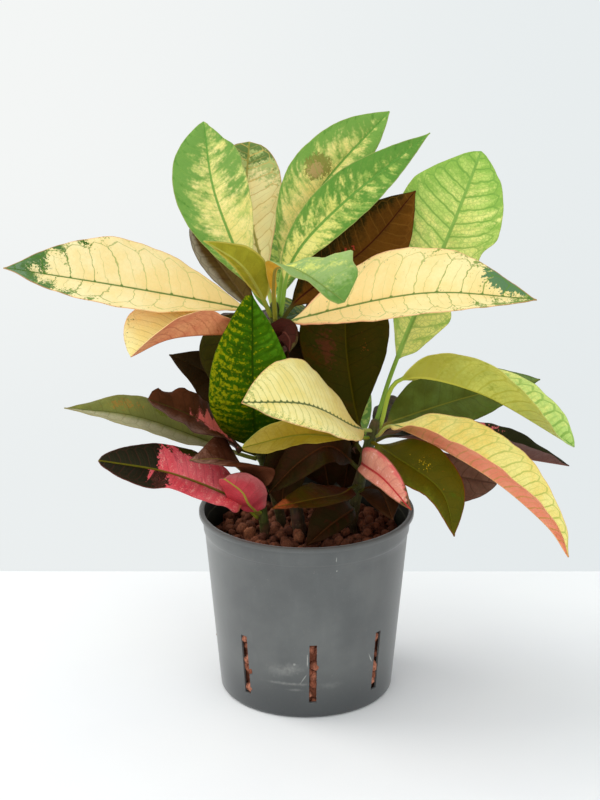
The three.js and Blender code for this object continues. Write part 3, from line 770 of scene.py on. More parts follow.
    OLIVE_FLECKS = PLAIN.on("#514901", "#484701",
        Blotch("#72761a", -0.75, base=0.5, left=-0.75, grain=0.3, share=0.6),
        Blotch("#3b5402", -0.6, margin=0.3, grain=0.6, size=5, speckle=0.4, share=0.6),
        Blotch("#c19d12", -1.3, near=1, place=(0.46, -0.28), reach=(0.22, 0.45), grain=0.2, speckle=1.3, fleck=1.6,
            soft=0.08),
        Blotch("#cc721d", -1.3, near=0.5, place=(0.55, -0.2), reach=(0.5, 0.9), grain=0.2, speckle=1.3, fleck=2.4,
            soft=0.08),
        vein="#3b3b01", vein_share=0.35, net_share=0.12, midrib="#5e5e0c", midrib_width=1.2, rim="#782d06",
        rim_share=0.7, stalk="#786c11", roughness=0.48, gloss=0.15)
    DARK_GREEN = PLAIN.on("#485510", "#576b24",
        # painted highlight: the paler green towards the tip and on the left half stands in for gloss
        Blotch("#6d8e50", -0.55, tip=0.9, left=0.3, grain=0.3, speckle=0.1, soft=0.4, share=0.8),
        Blotch("#4b6d1e", -0.6, left=-0.6, size=5, speckle=0.4, share=0.7),
        Blotch("#e8a42c", -1.5, near=0.5, place=(0.6, 0.5), reach=(0.3, 0.4), speckle=1, fleck=2.2, soft=0.06),
        vein="#39450c", net_share=0.12, midrib="#7e802a", midrib_width=1.2, rim="#454014", stalk="#7e6d2a",
        roughness=0.42, gloss=0.3)
    GREY_GREEN = PLAIN.on("#727b3e", "#828942",
        # painted sheen: the pale grey over the left half stands in for gloss on the olive green
        Blotch("#b3b18f", -0.5, tip=0.3, left=1.3, grain=0.15, speckle=0.1, soft=0.4, share=0.75),
        Blotch("#a47934", -0.8, near=1, place=(0.68, 0.5), reach=(0.2, 0.6), grain=0.3, speckle=0.9, fleck=1.5,
            soft=0.15, share=0.7),
        Blotch("#5c6709", -0.8, near=1, place=(0.48, 0.5), reach=(0.1, 0.5), grain=0.3, speckle=0.6, fleck=1.6,
            soft=0.2, share=0.8),
        vein="#605e2b", net_share=0.15, midrib="#626a32", midrib_width=1.2, rim="#93814f", stalk="#767f34",
        roughness=0.42, gloss=0.3)
    MAROON_PINK = NIGHTS.on("#41220f", "#522c18",
        # painted sheen: this greyish patch towards the tip and on the left half stands in for gloss
        Blotch("#7c6258", -0.8, tip=0.4, left=0.75, grain=0.3, share=0.7),
        Blotch("#e0706c", -1, between=0.7, near=2.4, place=(0.36, -0.1), reach=(0.45, 1), grain=0.3, size=5,
            speckle=0.35, fleck=1.3, step=0.7, soft=0.1),
        vein="#30180c", midrib="#4a401a")
    PINK_BLACK = PLAIN.on("#ee525e", "#f46e76",
        Blotch("#ffb0a4", -0.4, between=0.4, size=3, speckle=0.8, fleck=0.9, share=0.75),
        Blotch("#c83c50", -0.55, grain=1.1, size=3, speckle=0.5, fleck=1.2, share=0.6),
        Blotch("#33330c", -1.1, between=-0.3, near=1.5, place=(0.46, 0.95), reach=(0.36, 0.5), size=3, speckle=0.5,
            fleck=1.2, step=0.9, soft=0.08),
        Blotch("#1f1f14", -1.75, tip=8, left=-0.1, grain=0.2, size=4, speckle=0.3, fleck=1.4, step=1.7, soft=0.05),
        Blotch("#b0505a", -1.15, between=-0.5, near=0.6, place=(0.75, -0.3), reach=(0.15, 0.5), grain=0.8, size=1.5,
            soft=0.1, share=0.35),
        vein="#6a2c2c", vein_share=0.16, vein_width=0.6, net_share=0, midrib="#6a6410", midrib_width=2.4,
        rim="#9a4440", rim_share=0.3, stalk="#8a8a2a", roughness=0.46, gloss=0.15)
    SHOOT_BROWN = NIGHTS.on("#4c2616", "#603522",
        Blotch("#b48672", -0.8, tip=1, tip_power=1.5, grain=0.3, share=0.7),
        midrib="#8c7a38", stalk="#a4c541")
    SALMON = PLAIN.on("#e8a086", "#de8b77",
        Blotch("#ffd0c4", -0.6, between=0.7, grain=0.7, size=2.5, speckle=0.9, fleck=1.2, share=0.7),
        Blotch("#dc585e", -0.8, left=1, grain=0.3, soft=0.15, share=0.8),
        Blotch("#3c3810", -1.1, tip=1.6, tip_power=4, margin=0.2, step=0.3, soft=0.1),
        vein="#c06760", vein_share=0.5, net_share=0.2, midrib="#c83a40", midrib_width=2.2, rim="#6a4824",
        rim_share=0.8, stalk="#8a772a", gloss=0.2)
    PURPLE = NIGHTS.on("#603c31", "#6f4b40",
        Blotch("#a74b39", -1.2, speckle=0.9, fleck=2.2, soft=0.08, share=0.7),
        midrib="#4e2e25", gloss=0.3)
    DARK_PINK_FLECKS = NIGHTS.on("#1e2008", "#282a0c",
        Blotch("#e07070", -0.95, between=0.4, near=1.3, place=(0.45, 0.85), reach=(0.35, 0.5), speckle=0.7, fleck=1.6,
            soft=0.1),
        Blotch("#e07070", -0.95, between=0.4, near=1.3, place=(0.45, -0.85), reach=(0.35, 0.5), speckle=0.7,
            fleck=1.6, soft=0.1))
    LOW_BROWN = NIGHTS.on("#3a3004", "#442607",
        Blotch("#a4512b", -0.9, tip=1.4, grain=0.3, soft=0.15, share=0.85),
        Blotch("#441b0a", -0.4, base=0.9, grain=0.3, soft=0.25),
        midrib="#624c0f")
    LOW_ARCH = NIGHTS.on("#341a0b", "#281305",
        Blotch("#743726", -0.6, between=0.4, soft=0.2, share=0.7))
    CORAL_BACK = PLAIN.on("#e49a6a", "#d8805a",
        Blotch("#a8502c", -0.6, grain=1.2, size=2.5, speckle=0.6, fleck=1.2, share=0.65),
        Blotch("#4c4020", -1.45, grain=0.9, size=2.5, speckle=0.7, fleck=1, soft=0.1, share=0.7),
        vein="#b4583a", vein_share=0.55, vein_width=0.8, net_share=0.2, midrib="#c06a40", midrib_width=1.8,
        rim="#d0604a", stalk="#a9a04a", roughness=0.55, gloss=0.2, back=True)
    CORAL_VEINED_BACK = PLAIN.on("#fa9c7c", "#f58a6a",
        Blotch("#eab860", -1.1, base=1.4, grain=0.3, soft=0.4, share=0.7),
        Blotch("#b85244", -1, tip=1, tip_power=4, speckle=0.6, fleck=1.6, soft=0.25, share=0.7),
        vein="#c59344", vein_share=0.75, vein_width=0.8, net_share=0.15, midrib="#fcb172", midrib_width=1.8,
        rim="#fc9372", stalk="#c6b859", roughness=0.55, gloss=0.2, back=True)
    OLIVE_BACK = PLAIN.on("#a09a26", "#8c861a", vein="#7c7c1c", net_share=0.2, midrib="#a8a848", midrib_width=1.8,
        rim="#c8b452", rim_width=1.6, rim_share=0.8, stalk="#9aa03a", back=True)
    OLIVE_YELLOW_BACK = PLAIN.on("#ced068", "#bcc664",
        Blotch("#8f9a34", -0.7, base=0.6, grain=0.9, size=4, speckle=0.6, fleck=1.6, soft=0.35, share=0.7),
        Blotch("#a4a03a", -0.7, base=1.6, grain=0.3, soft=0.4, share=0.8),
        vein="#adad3d", vein_share=0.8, vein_width=0.9, net_share=0.25, midrib="#c2c04e", midrib_width=2,
        rim="#e6dc7b", stalk="#a5b944", roughness=0.55, gloss=0.2, back=True)
    OCHRE_BACK = PLAIN.on("#9f891d", "#917b14",
        Blotch("#b09e47", -0.5, tip=0.9, margin=0.3, grain=0.3, soft=0.4, share=0.7),
        vein="#7d6711", vein_share=0.35, net_share=0.15, midrib="#707114", midrib_width=1.8, rim="#b5a438",
        stalk="#8b8d23", gloss=0.2, back=True)
    GOLD_BACK = PLAIN.on("#dcae3c", "#cf9a2a", vein="#a8842c", vein_share=0.35, net_share=0.15, midrib="#86803a",
        midrib_width=1.8, rim="#c8a850", stalk="#8f8c30", gloss=0.15, back=True)
    PLUM_BACK = PLAIN.on("#5a3430", "#6a443e",
        Blotch("#7a5c58", -0.5, margin=0.4, grain=0.4, speckle=0.3, soft=0.4, share=0.5),
        vein="#482824", net_share=0.2, midrib="#7a4a40", midrib_width=1.8, rim="#4a2a24", stalk="#6a3a2a", back=True)
    ROSE_BACK = PLAIN.on("#c43e4a", "#d04a54",
        # painted sheen: this grey patch towards the tip and on the left half stands in for gloss on the crimson
        Blotch("#969087", -0.7, tip=0.5, left=1, grain=0.2, soft=0.35, share=0.3),
        vein="#943d3a", net_share=0.2, midrib="#a5a138", midrib_width=1.8, rim="#833d33", stalk="#949033", back=True)


# ---------------------------------------------------------------- stems


@dataclass(frozen=True)
class StemForm:
    """A stem's line from the bottom of its hole in the pebbles to its tip, and its radius at both ends."""

    path: tuple[Point, ...]
    radii: tuple[float, float]


STEMS = {
    "tall": StemForm(((-3, -7, 55), (-4, -7, 100), (-12, -3, 150), (-17, 0, 200), (-19, 0, 243)), (4.6, 2.4)),
    "right": StemForm(((26, 6, 55), (27, 6, 100), (34, 2, 140), (41, -3, 171)), (4.6, 2.6)),
    "left": StemForm(((-14, 9, 55), (-15, 9, 100), (-24, 3, 135), (-31, -2, 161)), (3.4, 2.2)),
    "shoot": StemForm(((-25, -7, 70), (-25, -7, 100), (-26, -9, 112), (-27, -11, 124)), (4, 2.4)),
}


@dataclass
class Stems:
    """The woody stems, ringed by the scars of the leaves that they have shed and thickened where leaves grow."""

    sides: int = 28
    row_height: float = 1.2
    swelling: float = 0.5
    scar_gap: float = 7.5
    scar_width: float = 0.7
    tip_steps: tuple[float, float] = (0.9, 1.3)
    tip_shares: tuple[float, float] = (0.75, 0.35)
    leaf_heights: dict[str, list[float]] = field(default_factory=dict)

    def skin(self) -> bpy.types.Material:
        """Makes the bark: brown and scarred low down, green and smooth near the leaves.

        Returns:
            The material.
        """
        material, b, shader = new_material("stem_bark")
        place = b.place()
        x, y, z = b.parts(place)
        share = b.noted("share")
        ring = b.noted("scar")
        streaks = b.noise(b.vector(x, y, b.times(z, 0.15)), 900.0, 3.0, 0.6)
        old = b.blend(b.rise(streaks, 0.35, 0.65), "#2c2010", "#4a3a1e")
        young = b.blend(b.rise(streaks, 0.3, 0.7), "#3c4618", "#525c22")
        colour = b.blend(b.rise(share, 0.35, 0.8), old, young)
        blush = b.rise(b.noise(place, 60.0, 2.0), 0.5, 0.66)
        colour = b.blend(b.times(blush, 0.6), colour, "#5c2c24")
        dots = b.add("ShaderNodeTexVoronoi", {"Vector": place, "Scale": 420.0}).outputs["Distance"]
        colour = b.blend(b.rise(dots, 0.16, 0.24, 0.45, 0.0), colour, "#7c6c48")
        colour = b.blend(b.times(ring, 0.7), colour, "#33240f")
        height = b.total(streaks, b.times(b.rise(dots, 0.16, 0.24, 1.0, 0.0), 0.6))
        relief = b.bump(height, 0.5, 0.0004)
        b.fill(shader, {"Base Color": colour, "Roughness": 0.62, "Specular IOR Level": 0.35, "Normal": relief})
        return material

    def rings(self, form: StemForm, spine: Spine, name: str, shares: np.ndarray) -> tuple[np.ndarray, np.ndarray]:
        """Works out a stem's radius and its scars along its length.

        Args:
            form: the stem.
            spine: its line.
            name: which stem it is.
            shares: places along it.

        Returns:
            The radii, and how much of a scar there is, from 0 to 1.
        """
        along = shares * spine.length
        radii = np.interp(shares, (0.0, 1.0), form.radii)
        scar = np.zeros_like(shares)
        for k in range(int(spine.length / self.scar_gap)):
            middle = self.scar_gap * (k + 0.5 + 0.3 * math.sin(2.3 * k))
            scar = np.maximum(scar, np.exp(-(((along - middle) / self.scar_width) ** 2)))
        radii = radii + 0.12 * swell(along, 3.0, 23.0) + 0.22 * scar
        for height in self.leaf_heights.get(name, []):
            middle = spine.share_at_height(height) * spine.length
            radii = radii + self.swelling * 0.4 * np.exp(-(((along - middle) / 2.0) ** 2))
        return np.minimum(radii, np.interp(shares, (0.0, 1.0), form.radii) + self.swelling), scar

    def mesh(self, name: str) -> bpy.types.Mesh:
        """Builds one stem.

        Args:
            name: which stem it is.

        Returns:
            Its closed mesh, with its length and its scars noted on it.
        """
        form = STEMS[name]
        spine = Spine(form.path)
        rows = int(spine.length / self.row_height)
        shares = np.concatenate([np.linspace(0.0, 1.0, rows), [1.0, 1.0]])
        radii, scar = self.rings(form, spine, name, shares)
        centres, along = spine.at(shares)
        centres[-2:] += along[-2:] * np.array(self.tip_steps)[:, None]
        radii[-2:] *= self.tip_shares
        side = unit(np.array([1.0, 0.0, 0.0]) - along * along[:, :1])
        up = np.cross(along, side)
        angle = np.linspace(0.0, 2.0 * math.pi, self.sides, endpoint=False)
        radius = radii[:, None] * (1.0 + 0.03 * np.sin(3 * angle)[None] + 0.02 * np.sin(5 * angle + 1.0)[None])
        out = [(radius * wave(angle))[..., None] for wave in (np.cos, np.sin)]
        points = (centres[:, None] + (out[0] * side[:, None] + out[1] * up[:, None])).reshape(-1, 3)
        n = self.sides
        top = (len(shares) - 1) * n
        ends = [tuple(range(n - 1, -1, -1)), tuple(range(top, top + n))]
        mesh = mesh_from(f"{name}_stem", points, tube(len(shares), n) + ends)
        note(mesh, "share", np.repeat(shares, n))
        note(mesh, "scar", np.repeat(scar, n))
        return mesh

    def build(self) -> None:
        """Makes every stem and puts it in its node's place."""
        skin = self.skin()
        for name in STEMS:
            stand_in_for(f"stem_{name}", f"{name}_stem", self.mesh(name), [skin])


# ---------------------------------------------------------------- leaves


@dataclass(frozen=True)
class Bite:
    """A piece missing from a blade's edge: on the left (-1) or the right (1), at a share of the length."""

    side: int
    at: float
    length: float
    depth: float


@dataclass(frozen=True)
class Leaf:
    """A leaf: its colour's name, its stem, the height at which it leaves it, its path to its tip and its finishes.

    Petiole is the stalk's length, width the blade's where it is widest, at the share belly of its length, and point
    how slender its tip is. Left and right are how wide each half is, as a share of half the width. Fold is how far
    each half rises from the midrib, and faces the direction of its upper side. Both are given at the base, and at the
    tip where they change on the way. Wave is the height of the margin's waves and ruffle that of its small ones, lean
    and hook are how the side veins set out and turn toward the tip, and veins is the gap between them.
    """

    name: str
    colour: str
    stem: str
    height: float
    path: tuple[Point, ...]
    upper: Skin
    under: Skin = Skin.PLUM_BACK
    petiole: float = 14
    width: float = 40
    left: float = 1.0
    right: float = 1.0
    belly: float = 0.5
    point: float = 1.1
    fold: float = 15
    tip_fold: float | None = None
    faces: Point = (0, 0, 1)
    tip_faces: Point | None = None
    wave: float = 0
    ruffle: float = 0.5
    veins: float = 8.5
    lean: float = 0.42
    hook: float = 0.22
    bites: tuple[Bite, ...] = ()


LEAVES = (
    Leaf("tall_maroon", "mahogany", "tall", 212, ((-14, -12, 229), (-10, -19, 227), (-10, -24, 221)), Skin.MAROON,
        petiole=8, width=17, belly=0.4, fold=12, faces=(0, -0.9, 0.4)),
    Leaf("tall_spotted_green", "olive", "tall", 215, ((-30, 14, 222), (-49, 25, 207), (-56, 28, 182)),
        Skin.SPOTTED_OLIVE, petiole=12, width=34, belly=0.45, fold=12, faces=(-0.3, -0.9, 0.3)),
    Leaf("tall_back_right", "bottle", "tall", 219, ((-15, 24, 226), (4, 68, 216), (22, 108, 194)), Skin.BOTTLE,
        Skin.OLIVE_BACK, width=44, faces=(0, -0.2, 0.95), wave=1.5),
    Leaf("tall_coral", "cream", "tall", 222, ((-37, -20, 231), (-75, -44, 236), (-99, -58, 229)), Skin.CREAM_SMALL,
        Skin.CORAL_BACK, left=1.35, belly=0.72, point=0.6, fold=55, tip_fold=42, faces=(0, 0.3, 0.95),
        tip_faces=(-0.2, -0.3, 0.93), lean=0.9, bites=(Bite(1, 0.75, 0.4, -4.5),)),
    Leaf("tall_back_left", "olive", "tall", 223, ((-30, 22, 230), (-41, 70, 206), (-45, 115, 179)),
        Skin.SPOTTED_OLIVE, width=46, belly=0.55, point=1, faces=(0, -0.2, 0.95), wave=1.5),
    Leaf("tall_cream_right", "cream", "tall", 225, ((-7, -8, 235), (65, -28, 257), (130, -40, 257)), Skin.CREAM_RIGHT,
        Skin.CORAL_BACK, petiole=12, width=60, point=1.15, fold=22, faces=(0, -0.5, 0.87), ruffle=0.4, veins=13,
        lean=0.3),
    Leaf("tall_grey_backed", "mahogany", "tall", 228, ((-37, 14, 243), (-54, 28, 263), (-69, 38, 281)), Skin.SMOKE,
        width=27, left=0.75, belly=0.6, point=0.7, faces=(0.1, -0.9, 0.4)),
    Leaf("tall_mahogany", "mahogany", "tall", 230, ((-3, 12, 244), (36, 32, 269), (65, 42, 301)), Skin.MAHOGANY,
        petiole=12, width=48, belly=0.52, fold=12, faces=(0, -0.85, 0.5), veins=7),
    Leaf("tall_cream_left", "cream", "tall", 232, ((-38, -8, 242), (-101, -30, 261), (-170, -45, 277)),
        Skin.CREAM_LEFT, Skin.CORAL_BACK, petiole=12, width=60, belly=0.54, point=1.15, fold=22,
        faces=(0, -0.5, 0.87), ruffle=0.3, veins=15, lean=0.3, bites=(Bite(-1, 0.2, 0.25, 3),
        Bite(-1, 0.82, 0.15, -2.5))),
    Leaf("tall_back_high", "lime", "tall", 233, ((-16, 20, 246), (-12, 70, 270), (-11, 110, 276)), Skin.LIME_GREEN,
        Skin.OLIVE_BACK, width=46, belly=0.55, point=1, faces=(0, -0.55, 0.85), wave=1.5),
    Leaf("tall_turned", "lime", "tall", 234, ((-19, -16, 261), (-16, -32, 274), (-2, -46, 274), (21, -58, 261)),
        Skin.TURNED_GREEN, Skin.GOLD_BACK, petiole=16, width=52, right=0.5, belly=0.88, point=0.2, fold=12,
        tip_fold=28, faces=(0.1, 0.8, 0.6), tip_faces=(0.1, -0.85, 0.5), bites=(Bite(-1, 0.5, 0.4, 8.5),
        Bite(-1, 0.8, 0.1, -3), Bite(-1, 0.93, 0.1, 5), Bite(1, 0.35, 0.35, -2), Bite(1, 0.85, 0.22, 7))),
    Leaf("tall_olive_backed", "olive", "tall", 236, ((-28, -12, 255), (-38, -28, 275), (-58, -38, 291)),
        Skin.LIME_GREEN, Skin.OLIVE_BACK, width=24, right=0.5, belly=0.42, point=1, fold=20,
        faces=(-0.2, 0.75, 0.65)),
    Leaf("tall_green_right", "lime", "tall", 236, ((-8, -4, 271), (20, 2, 302), (71, 12, 342)), Skin.GREEN_RIGHT,
        Skin.OLIVE_BACK, petiole=20, width=32, right=0.85, belly=0.48, point=1.15, faces=(0.2, -0.85, 0.5)),
    Leaf("tall_green_middle", "lime", "tall", 239, ((-12, 10, 266), (9, 18, 309), (48, 25, 352)), Skin.GREEN_MIDDLE,
        Skin.OLIVE_BACK, petiole=20, width=44, left=1.05, right=0.75, belly=0.55, point=0.95, fold=18,
        faces=(-0.1, -0.9, 0.4)),
    Leaf("tall_butter", "cream", "tall", 239, ((-24, 14, 254), (-35, 35, 297), (-34, 45, 330)), Skin.BUTTER,
        Skin.CORAL_BACK, width=42, belly=0.72, point=0.55, fold=10, faces=(0, -0.95, 0.3)),
    Leaf("tall_green_left", "lime", "tall", 240, ((-32, 0, 254), (-53, 8, 306), (-60, 25, 346)), Skin.GREEN_LEFT,
        Skin.OLIVE_BACK, width=47, right=0.88, belly=0.62, point=0.8, fold=12, faces=(0.1, -0.95, 0.3),
        bites=(Bite(1, 0.93, 0.07, 2), Bite(1, 0.8, 0.08, -1))),
    Leaf("inner_high", "mahogany", "tall", 208, ((-14, 16, 214), (-11, 29, 208), (-14, 38, 173)), Skin.NIGHT,
        width=38, fold=10, faces=(0, -1, 0.1)),
    Leaf("inner_left", "mahogany", "tall", 150, ((-15, 7, 152), (-15, 11, 137), (-15, 13, 112)), Skin.NIGHT,
        petiole=6, width=28, fold=10, faces=(0, -1, 0.1)),
    Leaf("inner_right", "mahogany", "tall", 157, ((-3, 9, 162), (8, 15, 148), (14, 18, 120)), Skin.NIGHT_RED,
        petiole=8, width=36, fold=10, faces=(0, -1, 0.1)),
    Leaf("inner_front_left", "mahogany", "right", 140, ((14, -22, 162), (-4, -26, 154), (-23, -22, 132)), Skin.NIGHT,
        Skin.NIGHT_RED, petiole=10, width=24, belly=0.45, fold=20, faces=(0, -0.8, 0.6)),
    Leaf("inner_front_middle", "mahogany", "tall", 146, ((-12, -10, 158), (-13, -16, 145), (-15, -16, 121)),
        Skin.NIGHT, petiole=6, width=26, belly=0.45, fold=10, faces=(0, -1, 0.2)),
    Leaf("left_inner", "mahogany", "left", 149, ((-21, 12, 157), (-15, 29, 158), (-14, 36, 122)), Skin.NIGHT,
        petiole=10, width=42, belly=0.55, fold=10, faces=(0, -0.6, 0.8), tip_faces=(0, -1, 0.1)),
    Leaf("left_back", "sage", "left", 142, ((-38, 20, 152), (-55, 55, 152), (-65, 95, 134)), Skin.GREY_GREEN,
        faces=(0, -0.2, 0.95), wave=1.5),
    Leaf("left_maroon", "rose", "left", 151, ((-44, -10, 159), (-64, -32, 183), (-91, -44, 199)), Skin.MAROON_PINK,
        petiole=10, width=38, right=0.8, belly=0.6, point=0.45, fold=22, faces=(0, -0.5, 0.86), ruffle=1.6,
        bites=(Bite(1, 0.86, 0.08, 2), Bite(1, 0.66, 0.08, 1.2), Bite(-1, 0.93, 0.06, 1.5))),
    Leaf("left_grey_green", "sage", "left", 147, ((-44, -3, 152), (-97, -22, 180), (-140, -36, 191)), Skin.GREY_GREEN,
        petiole=12, width=30, belly=0.52, point=1.3, faces=(0, -0.45, 0.9)),
    Leaf("left_dark", "mahogany", "left", 153, ((-40, 20, 162), (-57, 40, 184), (-84, 44, 198)), Skin.BLACK,
        petiole=12, width=31, fold=12, faces=(0, -0.8, 0.6)),
    Leaf("left_bottle_green", "bottle", "left", 156, ((-30, -18, 167), (-31, -38, 212), (-31, -34, 258)), Skin.BOTTLE,
        Skin.OLIVE_BACK, petiole=10, width=48, left=0.9, belly=0.45, fold=12, faces=(0, -0.95, 0.3), ruffle=0.7,
        veins=5.5, bites=(Bite(-1, 0.5, 0.8, -4.5),)),
    Leaf("right_low_maroon", "mahogany", "right", 114, ((26, -14, 118), (14, -26, 114), (0, -36, 105)),
        Skin.NIGHT_RED, petiole=8, width=30, left=0.45, belly=0.45, point=1, fold=12, faces=(0.2, -0.8, 0.5)),
    Leaf("right_low_brown", "mahogany", "right", 129, ((20, -20, 131), (5, -40, 136), (-20, -52, 135)),
        Skin.LOW_BROWN, petiole=8, width=26, belly=0.45, point=1, faces=(0, -0.3, 0.95)),
    Leaf("right_low_arch", "mahogany", "right", 126, ((37, -10, 131), (44, -30, 136), (50, -50, 127)), Skin.LOW_ARCH,
        petiole=8, width=24, faces=(-0.1, -0.6, 0.8)),
    Leaf("right_inner", "mahogany", "right", 148, ((28, 15, 152), (26, 24, 138), (23, 27, 116)), Skin.NIGHT,
        petiole=8, width=34, belly=0.45, fold=12, faces=(0, -1, 0.1)),
    Leaf("right_back", "mahogany", "right", 150, ((46, 24, 153), (70, 70, 150), (88, 108, 134)), Skin.MAHOGANY,
        width=44, faces=(0, -0.2, 0.95), wave=1.5),
    Leaf("right_purple_low", "mahogany", "right", 152, ((50, 5, 151), (81, 11, 134), (116, 13, 125)), Skin.PURPLE,
        petiole=10, width=42, left=0.6, point=0.8, fold=10, faces=(0, -0.7, 0.7)),
    Leaf("right_back_middle", "lime", "right", 153, ((34, 22, 160), (14, 68, 168), (6, 112, 156)), Skin.LIME_GREEN,
        Skin.OLIVE_BACK, width=44, faces=(0, -0.2, 0.95), wave=1.5),
    Leaf("right_pink", "rose", "right", 145, ((34, -20, 150), (45, -44, 150), (60, -62, 138)), Skin.SALMON, petiole=8,
        width=26, left=1.1, right=0.5, belly=0.45, point=0.9, fold=25, faces=(-0.5, -0.8, 0.4)),
    Leaf("right_dark_middle", "olive", "right", 156, ((31, 12, 166), (24, 24, 207), (23, 30, 260)), Skin.DARK_MIDDLE,
        petiole=10, width=56, right=0.95, belly=0.58, point=1, fold=8, faces=(0, -1, 0.2)),
    Leaf("right_purple_far", "mahogany", "right", 157, ((57, 16, 155), (113, 34, 138), (164, 45, 125)),
        Skin.DARK_PINK_FLECKS, width=34, left=1.3, belly=0.55, fold=45, faces=(0, 0.1, 1)),
    Leaf("right_olive", "olive", "right", 159, ((50, -27, 159), (77, -54, 147), (85, -63, 122)), Skin.OLIVE_FLECKS,
        petiole=8, width=36, left=1.05, right=0.8, belly=0.42, fold=12, faces=(0.2, -0.7, 0.7)),
    Leaf("right_ochre_backed", "olive", "right", 161, ((26, -20, 167), (-4, -42, 177), (-37, -56, 174)),
        Skin.LIME_GREEN, Skin.OCHRE_BACK, petiole=10, width=28, left=0.8, right=0.9, belly=0.68, point=0.7, fold=10,
        faces=(-0.15, 0.9, 0.4)),
    Leaf("right_grey_green", "sage", "right", 162, ((51, 10, 166), (93, 26, 175), (143, 38, 184)), Skin.DARK_GREEN,
        petiole=12, width=36, left=1.25, belly=0.42, fold=12, faces=(0, -0.7, 0.7)),
    Leaf("right_coral", "cream", "right", 163, ((55, -14, 171), (103, -45, 154), (137, -60, 129), (151, -65, 110)),
        Skin.YELLOW_CELLS, Skin.CORAL_VEINED_BACK, width=50, left=1.06, belly=0.45, point=0.95, fold=44, tip_fold=40,
        faces=(0.1, -0.1, 0.97), tip_faces=(0.4, 0, 0.9)),
    Leaf("right_cream", "cream", "right", 166, ((28, -22, 174), (0, -60, 201), (-36, -88, 212)), Skin.CREAM_FINE,
        Skin.CORAL_BACK, petiole=10, width=62, left=0.85, belly=0.52, point=1, fold=12, faces=(0, -0.62, 0.78),
        veins=4.4, lean=0.3, bites=(Bite(1, 0.36, 0.12, 2.5),)),
    Leaf("right_lime_arch", "lime", "right", 167, ((56, -4, 198), (101, -20, 195), (157, -25, 163)), Skin.LIME_CELLS,
        Skin.OLIVE_YELLOW_BACK, petiole=36, width=54, left=0.85, belly=0.52, point=0.75, fold=42,
        faces=(0, 0.75, 0.65), tip_faces=(0.1, -0.5, 0.85)),
    Leaf("right_lime_high", "lime", "right", 168, ((54, 18, 203), (87, 45, 277), (105, 60, 321)), Skin.LIME_HIGH,
        Skin.OLIVE_BACK, petiole=40, width=58, belly=0.62, point=0.7, fold=8, faces=(-0.1, -0.95, 0.3),
        bites=(Bite(-1, 0.6, 0.36, -6.5), Bite(1, 0.47, 0.2, 5.5), Bite(1, 0.16, 0.16, -5), Bite(1, 0.95, 0.05, 1))),
    Leaf("shoot_pink", "rose", "shoot", 113, ((-42, -18, 127), (-80, -32, 149), (-121, -40, 160)), Skin.PINK_BLACK,
        petiole=16, right=0.9, belly=0.42, point=0.6, faces=(0, -0.6, 0.8), veins=6,
        bites=(Bite(-1, 0.36, 0.36, 6.5),)),
    Leaf("shoot_rose", "rose", "shoot", 117, ((-34, -26, 127), (-38, -33, 138), (-48, -40, 149)), Skin.SHOOT_BROWN,
        Skin.ROSE_BACK, petiole=6, width=18, point=0.8, fold=20, faces=(0, 0.8, 0.6), bites=(Bite(1, 0.5, 0.8, -4.5),
        Bite(-1, 0.5, 0.8, -4.5))),
    Leaf("shoot_brown", "mahogany", "shoot", 120, ((-32, -22, 139), (-46, -36, 158), (-68, -42, 161)),
        Skin.SHOOT_BROWN, Skin.SHOOT_BROWN, petiole=20, width=32, belly=0.45, fold=25, tip_faces=(0, -0.4, 0.9),
        bites=(Bite(1, 0.35, 0.5, -4), Bite(-1, 0.35, 0.5, -8))),
)


